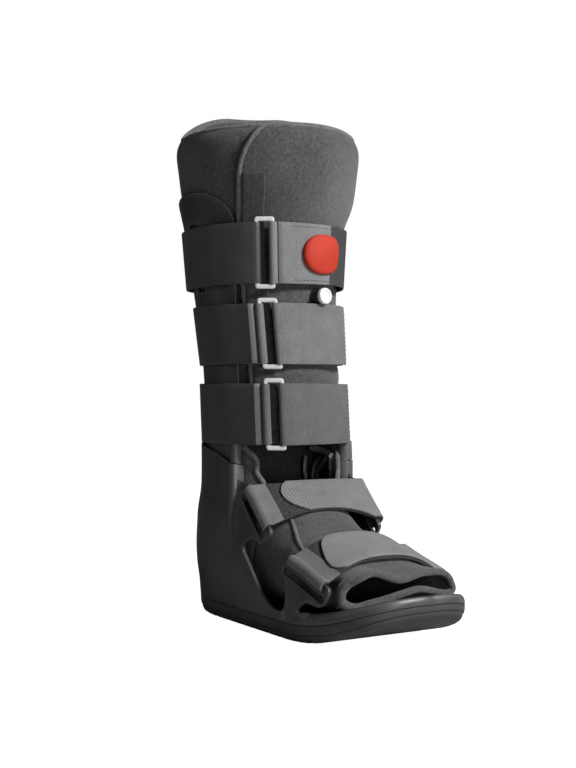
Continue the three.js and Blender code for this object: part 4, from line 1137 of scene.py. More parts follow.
def foot_ring_point(along, turn, inset=0):
    """Point round the bootee at a station: turn 0 is the bottom, up to 1 at the top."""
    y = along_y(along, ANKLE_HEEL_LENGTH)
    room = lerp(CALF_HALF_WIDTH, SOLE_HALF_WIDTH - SHELL_WALL, clamp01(-along))
    width = room * table_value(FOOT_STATIONS, 1, along) - inset
    top = INSTEP_HEIGHT * table_value(FOOT_STATIONS, 2, along) - inset
    bottom = SHELL_BASE + SHELL_FLOOR + 0.3 + rocker(y) + inset
    middle = min(bottom + FOOT_SIDE_HEIGHT, (bottom + top) / 2)
    angle = math.pi * (turn - 0.5)
    c, s = math.cos(angle), math.sin(angle)
    reach = top - middle if s > 0 else middle - bottom
    x = width * max(0, c) ** (2 / FOOT_ROUNDNESS)
    z = middle + reach * math.copysign(abs(s) ** (2 / FOOT_ROUNDNESS), s)
    return Vector((x, y, z))


def foot_top_turn(along):
    """How far round the ring the bootee reaches: all the way, or up to the seam at the ankle."""
    y = along_y(along, ANKLE_HEEL_LENGTH)
    if y <= FOOT_WINDOW_Y:
        return 1.0
    low, high = 0.0, 1.0
    for _ in range(24):
        half = (low + high) / 2
        if foot_ring_point(along, half).z < LINER_SEAM_Z - 0.5:
            low = half
        else:
            high = half
    return low


def mouth_set_back(across):
    """How far the mouth's edge lies back, which it does at its near corner."""
    return MOUTH_SET_BACK * smooth((-36 - across) / 13)


def foot_surface(along, part):
    """Middle of the bootee's padding; part runs from -1 round under the foot to 1."""
    turn = abs(part) * foot_top_turn(along)
    point = foot_ring_point(along, turn, LINER_WALL / 2)
    across = math.copysign(point.x, part)
    profile, depth = (MOUTH_TOP, MOUTH_TOP_DEPTH) if turn > 0.5 else (MOUTH_BOTTOM, MOUTH_BOTTOM_DEPTH)
    mouth = smooth((MOUTH_Y + depth - point.y) / depth)
    point.z = lerp(point.z, table_value(profile, 1, across), mouth)
    point.y += mouth_set_back(across) * smooth((MOUTH_Y + MOUTH_BOTTOM_DEPTH - point.y) / MOUTH_BOTTOM_DEPTH)
    crease = 0.7 * wave(point.y * 0.21 + across * 0.09, point.z * 0.17 - across * 0.07) * smooth(turn * 2)
    point.z += crease * 0.5 * (1 - mouth)
    point.x = math.copysign(point.x + crease * 0.6 * smooth(point.x / 8), part)
    return point


station_places = [row[0] for row in FOOT_STATIONS]
foot_alongs = []
for near, far in zip(station_places, station_places[1:]):
    steps = max(2, round(abs(along_y(far) - along_y(near)) / 3))
    foot_alongs += [lerp(near, far, k / steps) for k in range(steps)]
foot_alongs.append(station_places[-1])
foot_points = [
    foot_surface(along, -1 + 2 * c / (FOOT_COLUMNS - 1))
    for along in foot_alongs for c in range(FOOT_COLUMNS)
]
foot_faces = grid_faces(len(foot_alongs), FOOT_COLUMNS)
foot_liner = make_piece("foot_liner_padding", foot_points, foot_faces)
weld(foot_liner, 0.4)
pad(foot_liner, LINER_WALL - 0.4)
foot_liner.data.materials.append(liner_felt)
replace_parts(foot_liner, "foot_liner")
mouth_steps = FOOT_COLUMNS - 1
mouth_path = [foot_surface(station_places[0], -1 + 2 * c / mouth_steps) for c in range(mouth_steps)]
mouth_binding = tube("foot_liner_mouth", mouth_path, MOUTH_BINDING_RADIUS, closed=True)
lip_points = []
lip_foot = SHELL_BASE + SHELL_FLOOR + rocker(MOUTH_Y) + 2.2
for r in range(LIP_ROWS):
    down = r / (LIP_ROWS - 1)
    for c in range(LIP_COLUMNS):
        x = lerp(-LIP_HALF_WIDTH, LIP_HALF_WIDTH, c / (LIP_COLUMNS - 1))
        z = lerp(table_value(MOUTH_BOTTOM, 1, x), lip_foot, down)
        lip_points.append((x, MOUTH_Y + mouth_set_back(x) + 1 + LIP_SET_BACK * smooth(down * 2.5), z))
lip_front = make_piece("foot_liner_lip", lip_points, grid_faces(LIP_ROWS, LIP_COLUMNS))
pad(lip_front, LIP_WALL)
lip_front.data.materials.append(liner_felt)
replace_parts(lip_front, "foot_liner")
flap_edge = []
for k in range(FLAP_EDGE_STEPS + 1):
    along, turn = [lerp(upper, lower, k / FLAP_EDGE_STEPS) for upper, lower in zip(*FLAP_EDGE)]
    p = foot_ring_point(along, turn, -0.3)
    flap_edge.append(Vector((-p.x, p.y, p.z)))
instep_binding = tube("instep_flap_binding", flap_edge, FLAP_BINDING_RADIUS)
mouth_binding.data.materials.append(felt_material(
    "mouth_felt", (0.035, 0.036, 0.037, 1), (0.13, 0.132, 0.135, 1), 0.8, 0.3))
instep_binding.data.materials.append(binding_felt)

# Hook strip: a narrow band of dark woven hook tape. It is sewn flat up the outer flap, just beside
# the flap's edge, and the strap rings lie over it.
HOOK_STRIP_WIDTH = 16.5
HOOK_STRIP_THICKNESS = 1.2
HOOK_STRIP_LIFT = 0.6
HOOK_STRIP_ROWS = 60
HOOK_STRIP_COLUMNS = 9
HOOK_STRIP_Z = (153, 376)
HOOK_STRIP_START = FLAP_EDGE_ANGLE + 2.6
strip_turn = math.degrees(HOOK_STRIP_WIDTH / CALF_HALF_WIDTH)
strip_points = []
for r in range(HOOK_STRIP_ROWS):
    z = lerp(*HOOK_STRIP_Z, r / (HOOK_STRIP_ROWS - 1))
    scale = CALF_HALF_WIDTH / leg_point(90, z, 0).x
    for c in range(HOOK_STRIP_COLUMNS):
        angle = HOOK_STRIP_START + strip_turn * scale * c / (HOOK_STRIP_COLUMNS - 1)
        lift = flap_rise(angle) + HOOK_STRIP_LIFT + HOOK_STRIP_THICKNESS
        strip_points.append(leg_point(angle, z, lift))
strip_faces = grid_faces(HOOK_STRIP_ROWS, HOOK_STRIP_COLUMNS)
strip = make_piece("hook_tape", strip_points, strip_faces)
if strip.data.polygons[0].normal.y > 0:
    strip.data.flip_normals()
walled(strip, HOOK_STRIP_THICKNESS + 0.5, 0.35, rounds=2)
settle(strip, 50)
strip_tape = felt_material("hook_tape_cloth", (0.02, 0.0205, 0.021, 1), (0.08, 0.081, 0.083, 1), 0.5, 0.2)
strip.data.materials.append(strip_tape)
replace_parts(strip, "hook_strip")

# Leg straps: whole loops of 2 inch webbing. The right end passes through the ring and folds back
# over itself, where it is sewn down, and the left end is looped and sewn round the ring's other bar.
STRAP_THICKNESS = 2.2
STRAP_PLAY = 0.3
STRAP_TAPERS = {"upper": 0.55, "middle": 1.0, "lower": 1.0}
RING_ANGLE = -32
RING_WIDTH = 17
RING_BAR = 3
RING_CAP_SHOWN = 4.0
RING_CLEARANCE = 0.75
FOLD_END_ANGLE = 52
FRONT_RUN = (-78, FOLD_END_ANGLE + 6)
RING_WRAP = RING_BAR / 2 + RING_CLEARANCE + STRAP_THICKNESS / 2
UNDER_RING = LINER_WALL + 0.3 + HOOK_STRIP_THICKNESS + 1.2
RING_OFFSET = UNDER_RING + STRAP_THICKNESS / 2 + RING_WRAP
OVER_UPRIGHT = UPRIGHT_WALL + 1.5 + STRAP_THICKNESS / 2
FOLD_STACK = STRAP_THICKNESS + STRAP_PLAY


def strap_offset(angle):
    """How far out a strap's middle lies: on the calf panels, or further out on the flap in front."""
    front = UNDER_RING + STRAP_THICKNESS / 2
    to_right = smooth((FRONT_RUN[1] - angle) / 34)
    to_left = smooth((angle - FRONT_RUN[0]) / 30)
    return lerp(OVER_UPRIGHT, front, min(to_right, to_left))


def strap_point(name, angle, share, offset):
    """Point on a strap's straight-sided section, from its lower edge at 0 to its upper at 1."""
    bottom = STRAP_BOTTOMS[name]
    high = leg_point(angle, bottom + LEG_STRAP_WIDTH, offset)
    low = leg_point(angle, bottom, offset)
    point = low.lerp(high, 1 - STRAP_TAPERS[name] * (1 - share))
    point.z = bottom + LEG_STRAP_WIDTH * share
    return point


def ring_frame(name, share):
    """Middle of a ring at a height share, the way across it to the right, and the way out."""
    centre, before, after = [
        strap_point(name, RING_ANGLE + turn, share, RING_OFFSET) for turn in (0, -0.5, 0.5)]
    across = after - before
    across.z = 0
    across.normalize()
    return centre, across, Vector((across.y, -across.x, 0))


WEB_THICKNESS = 1.8
FOLD_ENDS = {"upper": 22, "middle": FOLD_END_ANGLE, "lower": FOLD_END_ANGLE}
CREASED_SIDE = {"upper": 1, "middle": -1, "lower": -1}
LEFT_RISE = {"upper": 14, "middle": 9, "lower": 13}
FOLD_ROWS = 18
DARK_FOLD_ROWS = {"upper": 4, "middle": 0, "lower": 0}
# How far past the bar, and how far out, each point lies where the webbing comes down to the bar
BAR_RUNS = {
    "sewn_right": [(9.5, 0.1), (7.2, 0.2), (4.9, 0.1), (3.9, -1.3)],
    "sewn_left": [(9.5, 1.0), (7.2, 0.4), (5.0, -0.6), (3.8, -1.9)],
    "loose": [(9.5, -0.2), (6.6, 0.6), (4.4, 1.4), (2.2, 2.2)],
}
BAR_TURN_STEPS = 16
LOOP_STEPS = 110


def strap_path(name, share):
    """The strap's middle line at one height, from its sewn end round the leg and back."""
    centre, across, out = ring_frame(name, share)
    bar = (RING_WIDTH - RING_BAR) / 2
    loop_radius = RING_BAR / 2 + 0.15 + WEB_THICKNESS / 2
    z = STRAP_BOTTOMS[name] + LEG_STRAP_WIDTH * share
    clear_of_bar = math.degrees((bar + RING_BAR / 2 + 3) / leg_point(90, z, 0).x)

    def at_ring(tangent, radial):
        return centre + across * tangent + out * radial

    def over_bar(sign):
        """Over the bar and back under it, pinched in behind it on the sewn side."""
        creased = CREASED_SIDE[name] == sign
        run = ("sewn_right" if sign > 0 else "sewn_left") if creased else "loose"
        arc = [at_ring(sign * (bar + past), out_by) for past, out_by in BAR_RUNS[run]]
        for k in range(BAR_TURN_STEPS + 1):
            turn = math.radians(lerp(165 if creased else 100, -90, k / BAR_TURN_STEPS))
            arc.append(at_ring(sign * (bar - loop_radius * math.cos(turn)), loop_radius * math.sin(turn)))
        return arc

    path = []
    for k in range(FOLD_ROWS):
        angle = lerp(FOLD_ENDS[name], RING_ANGLE + clear_of_bar + 7, k / (FOLD_ROWS - 1))
        path.append(strap_point(name, angle, share, strap_offset(angle) + FOLD_STACK))
    path += over_bar(1)
    inner_start = RING_ANGLE + clear_of_bar
    left_end = RING_ANGLE - clear_of_bar - LEFT_RISE[name]
    sweep = 360 + left_end - inner_start
    for k in range(LOOP_STEPS + 1):
        angle = inner_start + sweep * k / LOOP_STEPS
        wrapped = angle - 360 if angle > 180 else angle
        over_end = FOLD_STACK * smooth((wrapped + 84) / 18) if angle > 180 else 0
        wider = 2.2 * smooth((20 - turn_between(wrapped, -100)) / 40 + 0.5) if name == "lower" else 0
        path.append(strap_point(name, wrapped, share, strap_offset(wrapped) + over_end + wider))
    path += over_bar(-1)
    for turn in (0, 5, 10):
        angle = RING_ANGLE - clear_of_bar - turn
        path.append(strap_point(name, angle, share, strap_offset(angle)))
    return path


def strap_uv(piece, columns, rows, width):
    """Lays a strap's run and width into its UV map, before it gets its thickness."""
    mesh = piece.data
    layer = mesh.uv_layers.new(name="weave")
    runs = [0.0] * columns
    for v in range(columns, rows * columns):
        runs.append(runs[v - columns] + (mesh.vertices[v].co - mesh.vertices[v - columns].co).length / MM)
    for loop in mesh.loops:
        across = width * (loop.vertex_index % columns) / (columns - 1)
        layer.data[loop.index].uv = (runs[loop.vertex_index] / UV_UNIT, across / UV_UNIT)


def webbed(piece, thickness, edge_round):
    """Gives a strap its thickness, half to each side, and rounds its edges."""
    band = piece.modifiers.new("band", "SOLIDIFY")
    band.thickness = thickness * MM
    band.offset = 0
    round_edges(piece, edge_round, 2, 60)
    settle(piece, 40)


STRAP_COLUMNS = 11
UV_UNIT = 100
weave, given, result = new_group(
    "webbing_weave",
    [("Dark", COLOUR, (0.02, 0.02, 0.02, 1)), ("Light", COLOUR, (0.1, 0.1, 0.1, 1)),
     ("Rib", NUMBER, 100.0), ("Slant", NUMBER, 0.0), ("Nap", NUMBER, 0.5)],
    [("Color", COLOUR), ("Height", NUMBER)])
place = add_node(weave, "ShaderNodeTexCoord")
split = add_node(weave, "ShaderNodeSeparateXYZ", [(0, place.outputs["UV"])])
slanted = calculate(weave, "MULTIPLY", split.outputs["Y"], given.outputs["Slant"])
run = calculate(weave, "ADD", split.outputs["X"], slanted)
ribs = calculate(weave, "SINE", calculate(weave, "MULTIPLY", run, given.outputs["Rib"]))
crossed = calculate(weave, "SINE", calculate(weave, "MULTIPLY", split.outputs["Y"], given.outputs["Rib"]))
woven = calculate(weave, "ADD", spread(weave, ribs, -1, 1, 0, 0.5), spread(weave, crossed, -1, 1, 0, 0.12))
fuzz = add_node(weave, "ShaderNodeTexNoise", [("Vector", place.outputs["Object"])],
                Scale=1500.0, Detail=4.0, Roughness=0.7)
fuzzy = calculate(weave, "MULTIPLY", spread(weave, fuzz.outputs[0], 0.36, 0.64, 0, 1), given.outputs["Nap"])
height = calculate(weave, "ADD", woven, fuzzy)
clouds = add_node(weave, "ShaderNodeTexNoise", [("Vector", place.outputs["Object"])], Scale=60.0, Detail=4.0)
lit = calculate(weave, "MULTIPLY", height, spread(weave, clouds.outputs[0], 0.3, 0.7, 0.75, 1.1))
woven_colour = mix_colour(weave, lit, given.outputs["Dark"], given.outputs["Light"])
weave.links.new(woven_colour, result.inputs["Color"])
weave.links.new(height, result.inputs["Height"])


def webbing_material(name, dark, light, rib, slant, nap, relief, sheen=0.15, roughness=0.85):
    """Woven or ribbed strap cloth; rib is the spacing of its ribs in millimetres."""
    return surfaced_material(name, weave, {
        "Dark": dark, "Light": light, "Rib": 2 * math.pi * UV_UNIT / rib, "Slant": slant, "Nap": nap,
    }, relief, Roughness=roughness, Specular_IOR_Level=0.3, Sheen_Weight=sheen, Sheen_Roughness=0.45)


# Painted light and shade: one loop cloth in three tones, lighter on the upper strap and darker on the lower
# one.
painted_light_loop_cloths = {}
for strap_name, tone in (("upper", 1.12), ("middle", 0.92), ("lower", 0.66)):
    painted_light_loop_cloths[strap_name] = webbing_material(
        "strap_loop_cloth_painted_light_" + strap_name, (0.055 * tone, 0.056 * tone, 0.058 * tone, 1),
        (0.2 * tone, 0.203 * tone, 0.208 * tone, 1), 1.1, 0, 0.7, 0.12)
strap_webbing = webbing_material("strap_webbing", (0.026, 0.0263, 0.027, 1), (0.085, 0.086, 0.088, 1),
                                 0.9, 0, 0.25, 0.05, sheen=0.05, roughness=0.42)
stitch_thread = principled("stitch_thread", Base_Color=(0.02, 0.02, 0.021, 1), Roughness=0.7)[0]
STITCH_LENGTH = 2.4
STITCH_GAP = 1.5
STITCH_RADIUS = 0.32
STITCH_SIDES = 6
# Place along a stitch, and its thickness there
STITCH_SHAPE = ((0, 0.35), (0.2, 1), (0.8, 1), (1, 0.35))


def away_from_leg(point):
    return Vector((point.x, point.y - ANKLE_Y - 12, 0)).normalized()


def stitches(name, runs):
    """Rows of sewn stitches along runs of points on a strap, as one mesh."""
    points, faces = [], []
    for run_points in runs:
        lengths = [0.0]
        for before, after in zip(run_points, run_points[1:]):
            lengths.append(lengths[-1] + (after - before).length)
        start = STITCH_GAP
        while start + STITCH_LENGTH < lengths[-1]:
            ends = []
            for at in (start, start + STITCH_LENGTH):
                place = lookup(lengths, at)
                whole = min(int(place), len(run_points) - 2)
                ends.append(run_points[whole].lerp(run_points[whole + 1], place - whole))
            along = (ends[1] - ends[0]).normalized()
            out = away_from_leg((ends[0] + ends[1]) / 2)
            side = along.cross(out).normalized()
            out = side.cross(along).normalized()
            first = len(points)
            for share, thick in STITCH_SHAPE:
                centre = ends[0].lerp(ends[1], share)
                radius = STITCH_RADIUS * thick
                for s in range(STITCH_SIDES):
                    turn = 2 * math.pi * s / STITCH_SIDES
                    beside = centre + side * (radius * math.cos(turn))
                    points.append(beside + out * (radius * math.sin(turn)))
            faces += [[first + v for v in face] for face in ring_walls(len(STITCH_SHAPE), STITCH_SIDES)]
            faces.append(list(range(first + STITCH_SIDES - 1, first - 1, -1)))
            faces.append(list(range(len(points) - STITCH_SIDES, len(points))))
            start += STITCH_LENGTH + STITCH_GAP
    piece = make_piece(name, points, faces)
    weld(piece)
    settle(piece, 60)
    piece.data.materials.append(stitch_thread)


for strap_name in ("upper", "middle", "lower"):
    paths = [strap_path(strap_name, c / (STRAP_COLUMNS - 1)) for c in range(STRAP_COLUMNS)]
    rows = min(len(path) for path in paths)
    points = []
    for r in range(rows):
        for c, path in enumerate(paths):
            share = c / (STRAP_COLUMNS - 1)
            point = path[r].copy()
            point.z += 0.35 * math.sin(r * 0.11 + len(strap_name)) * (2 * share - 1)
            points.append(point)
    strap = make_piece("webbing_" + strap_name, points, grid_faces(rows, STRAP_COLUMNS))
    strap_uv(strap, STRAP_COLUMNS, rows, LEG_STRAP_WIDTH)
    strap.data.materials.append(strap_webbing)
    strap.data.materials.append(painted_light_loop_cloths[strap_name])
    for face in strap.data.polygons:
        row = face.index // (STRAP_COLUMNS - 1)
        # Painted highlight: on the middle and lower straps, the webbing that wraps the ring's left bar gets
        # the lighter loop cloth.
        left_wrap_painted_highlight = strap_name != "upper" and row > rows - 22
        face.material_index = int(DARK_FOLD_ROWS[strap_name] <= row < FOLD_ROWS + 14 or left_wrap_painted_highlight)
    webbed(strap, WEB_THICKNESS, 0.5)
    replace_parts(strap, "leg_strap_" + strap_name)

    surface = WEB_THICKNESS / 2 + 0.05
    first_angle, tab_angle = RING_ANGLE + 11.5, RING_ANGLE + 15
    right_end = FOLD_ENDS[strap_name] - 2

    def on_fold(angle, share):
        return strap_point(strap_name, angle, share, strap_offset(angle) + FOLD_STACK + surface)

    sewn = [[on_fold(angle, lerp(0.05, 0.95, k / 20)) for k in range(21)]
            for angle in ((first_angle, tab_angle, right_end) if strap_name == "upper" else (right_end,))]
    if strap_name == "upper":
        for share in (0.06, 0.94):
            sewn.append([on_fold(lerp(first_angle, right_end, k / 24), share) for k in range(25)])
    stitches("strap_stitches_" + strap_name, sewn)

# Strap rings: light grey moulded plastic rectangles with a bar for each end of a strap. Their
# rounded ends stand out above and below the webbing.
ring_plastic = moulded_material("ring_plastic", (0.5, 0.503, 0.508, 1), (0.74, 0.745, 0.75, 1),
                                0.6, (0.24, 0.34), 0.03, Specular_IOR_Level=0.6)


def round_rectangle(width, height, radius, steps=5):
    loop = []
    for cx, cz, first in ((1, -1, -90), (1, 1, 0), (-1, 1, 90), (-1, -1, 180)):
        for k in range(steps + 1):
            turn = math.radians(first + 90 * k / steps)
            loop.append((cx * (width / 2 - radius) + radius * math.cos(turn),
                         cz * (height / 2 - radius) + radius * math.sin(turn)))
    return loop


for strap_name in ("upper", "middle", "lower"):
    centre, across, _ = ring_frame(strap_name, 0.5)
    up = (ring_frame(strap_name, 1)[0] - ring_frame(strap_name, 0)[0]).normalized()
    facing = across.cross(up).normalized()
    inner_height = LEG_STRAP_WIDTH + 2 * RING_CLEARANCE
    outer = round_rectangle(RING_WIDTH, inner_height + 2 * RING_CAP_SHOWN, 2.6)
    inner = round_rectangle(RING_WIDTH - 2 * RING_BAR, inner_height, 1.2)
    points, faces = [], []
    for depth in (-RING_BAR / 2, RING_BAR / 2):
        for loop in (outer, inner):
            points += [centre + across * x + up * z + facing * depth for x, z in loop]
    count = len(outer)
    for k in range(count):
        after = (k + 1) % count
        faces.append((k, after, count + after, count + k))
        faces.append((2 * count + after, 2 * count + k, 3 * count + k, 3 * count + after))
        faces.append((after, k, 2 * count + k, 2 * count + after))
        faces.append((count + k, count + after, 3 * count + after, 3 * count + k))
    ring = make_piece("ring_" + strap_name, points, faces)
    weld(ring)
    round_edges(ring, 1.2, 4, 60)
    settle(ring, 50)
    ring.data.materials.append(ring_plastic)
    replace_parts(ring, "strap_ring_" + strap_name)

# Foot straps: each is sewn round the near bracket's bar, lies over the instep, turns round the
# far bar and comes back over itself. The returning layer is light ribbed hook tape, rounded at
# its end, and the layer under it is dark brushed pile.
FOOT_STRAP_PLAY = 1.5
STRAP_ARCH = {"rear": 2.2, "front": 2.6}
# Place across the strap's width, and where the returning layer's end lies across the foot
STRAP_TIPS = {
    "rear": [(0, -22), (0.1, -27), (0.3, -32), (0.5, -32), (0.7, -28.5), (0.9, -21), (1, -16)],
    "front": [(0, -23), (0.12, -31), (0.45, -39), (0.7, -42.5), (0.88, -42), (1, -36)],
}
TAB_REACH = {"rear": 8.5, "front": 8}
TAB_THICKNESS = 1.2
FOOT_STRAP_WIDTH = 45
SPAN_STEPS = 40


def plate_x(y, z):
    """Half-width of the shell at a point of the side view, without its step at the ankle."""
    ball, heel, _ = shell_sizes(rise_at(y, z))
    if y >= BALL_Y:
        return lerp(ball, heel, (y - BALL_Y) / (ANKLE_Y - BALL_Y))
    back = (BALL_Y - y) / (TOE_REACH + BALL_Y)
    return ball * (1 - back ** TOE_ROUNDNESS) ** (1 / TOE_ROUNDNESS)


def foot_strap_routes(name, share):
    """Lower layer, returning layer and near tab of a foot strap at one place across its width."""
    length, out, at = bracket_frame(name)
    base = at(lerp(FOOT_STRAP_PLAY, length - FOOT_STRAP_PLAY, share), 0)
    crown = INSTEP_HEIGHT * lerp(BRACKETS[name][0][2], BRACKETS[name][1][2], share)
    half = STRAP_THICKNESS / 2

    def outside(lift):
        return plate_x(base.x + out.x * lift, base.y + out.y * lift) + 0.6 + half

    def inward(lift):
        return outside(lift) - SHELL_WALL - STRAP_THICKNESS - 1.4

    reach = inward(0) - half
    over = BAR_HALF_WIDTH + 0.6 + half
    low = -SLOT_OFFSET
    stack = STRAP_THICKNESS + STRAP_PLAY

    def place(x, lift):
        arch = crown * (1 - min(1, abs(x) / reach) ** STRAP_ARCH[name])
        return Vector((x, base.x + out.x * lift, base.y + out.y * lift + arch))

    def turned(sign, first, last, layer):
        middle = (outside(0) + inward(0)) / 2
        wide = (outside(0) - inward(0)) / 2 + layer
        tall = over + layer
        arc = []
        for k in range(13):
            turn = math.radians(lerp(first, last, k / 12))
            arc.append(place(sign * (middle + wide * math.cos(turn)), max(low, tall * math.sin(turn))))
        return arc

    near = turned(-1, -60, 120, 0)
    flat_run = [place(lerp(-reach + 5, reach - 5, k / SPAN_STEPS), over) for k in range(SPAN_STEPS + 1)]
    far = turned(1, 120, -60, 0)
    lower = [place(-inward(low) - 1, low)] + near + flat_run[1:-1] + far + [place(inward(low) + 1, low)]
    end_x = table_value(STRAP_TIPS[name], 1, share)
    upper = [place(inward(low) + 1, low - 1.4)] + turned(1, -60, 62, stack)
    start = upper[-1].x
    upper += [place(lerp(start, end_x, k / SPAN_STEPS), over + stack) for k in range(1, SPAN_STEPS + 1)]
    tab = turned(-1, -20, 120, 0.9)
    tab += [place(lerp(-reach + 5, -reach + TAB_REACH[name], k / 5), over + 0.9) for k in range(1, 6)]
    return lower, upper, tab


pile_cloth = felt_material("strap_pile", (0.008, 0.008, 0.009, 1), (0.085, 0.086, 0.09, 1), 1.3, 0.9, 0.1)
tab_cloth = webbing_material("strap_tab", (0.06, 0.061, 0.063, 1), (0.2, 0.203, 0.208, 1), 1.0, 0, 0.6, 0.15)
hook_cloths = {
    "rear": webbing_material("strap_hook_tape", (0.07, 0.071, 0.073, 1), (0.26, 0.264, 0.27, 1),
                             3.2, 0.08, 0.45, 0.22),
    "front": webbing_material("strap_hook_back", (0.09, 0.091, 0.094, 1), (0.27, 0.274, 0.28, 1),
                              0.8, 0.0, 0.8, 0.15),
}
for strap_name in ("rear", "front"):
    layers = [foot_strap_routes(strap_name, c / (STRAP_COLUMNS - 1)) for c in range(STRAP_COLUMNS)]
    cloths = (
        ("pile", pile_cloth, STRAP_THICKNESS - 0.2),
        ("hook", hook_cloths[strap_name], STRAP_THICKNESS - 0.5),
        ("tab", tab_cloth, TAB_THICKNESS),
    )
    for layer_index, (layer_name, cloth, thickness) in enumerate(cloths):
        rows = len(layers[0][layer_index])
        points = [layers[c][layer_index][r] for r in range(rows) for c in range(STRAP_COLUMNS)]
        strap = make_piece(f"foot_webbing_{strap_name}_{layer_name}", points,
                           grid_faces(rows, STRAP_COLUMNS))
        strap_uv(strap, STRAP_COLUMNS, rows, FOOT_STRAP_WIDTH)
        webbed(strap, thickness, 0.4)
        strap.data.materials.append(cloth)
        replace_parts(strap, "foot_strap_" + strap_name)

# Pump bulb: a low dome of soft red rubber that stands on the upper strap. It is round towards the
# rings, more square on the other side, and a little uneven.
PUMP_HALF_WIDTH = 15.6
PUMP_HALF_HEIGHT = 16.7
PUMP_HEIGHT = 5.6
PUMP_ANGLE = 5.5
ROUND_SIDE = 2.1
SQUARE_SIDE = 3.1
PUMP_SIDES = 64
PUMP_RINGS = 18
PUMP_DENT = 0.5
PUMP_SINK = 0.3
LEG_RADIUS_AT_PUMP = 66
pump_offset = strap_offset(PUMP_ANGLE) + STRAP_THICKNESS * 1.5 + STRAP_PLAY


def pump_point(x, z, height):
    """Point on the pump from its middle on the strap: across, up and out."""
    turn = math.degrees(x / LEG_RADIUS_AT_PUMP)
    share = 0.5 + z / LEG_STRAP_WIDTH
    return strap_point("upper", PUMP_ANGLE + turn, share, pump_offset + height)


def capped_rings(rings, sides):
    """Faces of rings of points between one first and one last point."""
    last = 1 + rings * sides
    faces = [(0, 1 + s, 1 + (s + 1) % sides) for s in range(sides)]
    for r in range(rings - 1):
        for s in range(sides):
            a, b = 1 + r * sides + s, 1 + r * sides + (s + 1) % sides
            faces.append((a, a + sides, b + sides, b))
    return faces + [(last, last - sides + (s + 1) % sides, last - sides + s) for s in range(sides)]


pump_points = [pump_point(0, 0, PUMP_HEIGHT)]
for r in range(1, PUMP_RINGS + 1):
    share = r / PUMP_RINGS
    for s in range(PUMP_SIDES):
        turn = 2 * math.pi * s / PUMP_SIDES
        power = SQUARE_SIDE if math.cos(turn) > 0 else ROUND_SIDE
        squared = (abs(math.cos(turn)) ** power + abs(math.sin(turn)) ** power) ** (-1 / power)
        reach = squared * math.sin(math.pi / 2 * share) ** 0.8
        height = PUMP_HEIGHT * math.cos(math.pi / 2 * share) ** 0.5
        dent = PUMP_DENT * math.sin(turn * 2 + 1) * share * (1 - share) * 4
        pump_points.append(pump_point(PUMP_HALF_WIDTH * reach * math.cos(turn),
                                      PUMP_HALF_HEIGHT * reach * math.sin(turn), max(0, height + dent)))
pump_points.append(pump_point(0, 0, -PUMP_SINK))
pump = make_piece("pump_dome", pump_points, capped_rings(PUMP_RINGS, PUMP_SIDES))
weld(pump)
settle(pump, 60)
pump.data.materials.append(moulded_material(
    "pump_rubber", (0.4, 0.03, 0.014, 1), (0.5, 0.07, 0.035, 1), 0.8, (0.6, 0.75), 0.08,
    Specular_IOR_Level=0.22))
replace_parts(pump, "pump_bulb")

# Air valve: a short black plastic stem with a foot, set in the front of the liner between the
# upper two straps, and a round white cap with a shallow ring-shaped hollow in its face.
VALVE_ANGLE = 8
VALVE_Z = 275.5


def turned_piece(name, profile, origin, out, sides=40):
    """Solid of revolution from (radius, distance out) pairs, about a line out from an origin."""
    side = out.cross(Vector((0, 0, 1))).normalized()
    up = side.cross(out).normalized()
    points = [origin + out * profile[0][1]]
    for radius, distance in profile[1:-1]:
        centre = origin + out * distance
        for s in range(sides):
            turn = 2 * math.pi * s / sides
            points.append(centre + side * (radius * math.cos(turn)) + up * (radius * math.sin(turn)))
    points.append(origin + out * profile[-1][1])
    piece = make_piece(name, points, capped_rings(len(profile) - 2, sides))
    weld(piece)
    settle(piece, 35)
    return piece


valve_seat = leg_point(VALVE_ANGLE, VALVE_Z, flap_rise(VALVE_ANGLE))
valve_across = leg_point(VALVE_ANGLE + 1, VALVE_Z, 0) - leg_point(VALVE_ANGLE - 1, VALVE_Z, 0)
valve_up = leg_point(VALVE_ANGLE, VALVE_Z + 5, 0) - leg_point(VALVE_ANGLE, VALVE_Z - 5, 0)
valve_out = valve_across.cross(valve_up).normalized()
stem = turned_piece("valve_stem", [
    (0, 0.6), (7.2, 0.6), (7.2, 1.6), (6.7, 2.2), (6.6, 3.0), (6.6, 8.8), (6.1, 9.6), (0, 9.6),
], valve_seat, valve_out)
stem.data.materials.append(moulded_material(
    "valve_black", (0.012, 0.012, 0.013, 1), (0.05, 0.05, 0.05, 1), 0.5, (0.35, 0.5), 0.03))
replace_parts(stem, "valve_body")
cap = turned_piece("valve_button", [
    (0, 9.9), (6.4, 9.9), (7.0, 10.4), (7.0, 12.6), (6.6, 13.4), (5.6, 13.8), (4.6, 13.7), (4.2, 13.2),
    (1.6, 13.1), (1.2, 13.5), (0, 13.6),
], valve_seat, valve_out)
cap.data.materials.append(moulded_material(
    "valve_white", (0.66, 0.66, 0.64, 1), (0.5, 0.5, 0.48, 1), 0.7, (0.3, 0.4), 0.02))
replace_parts(cap, "valve_cap")

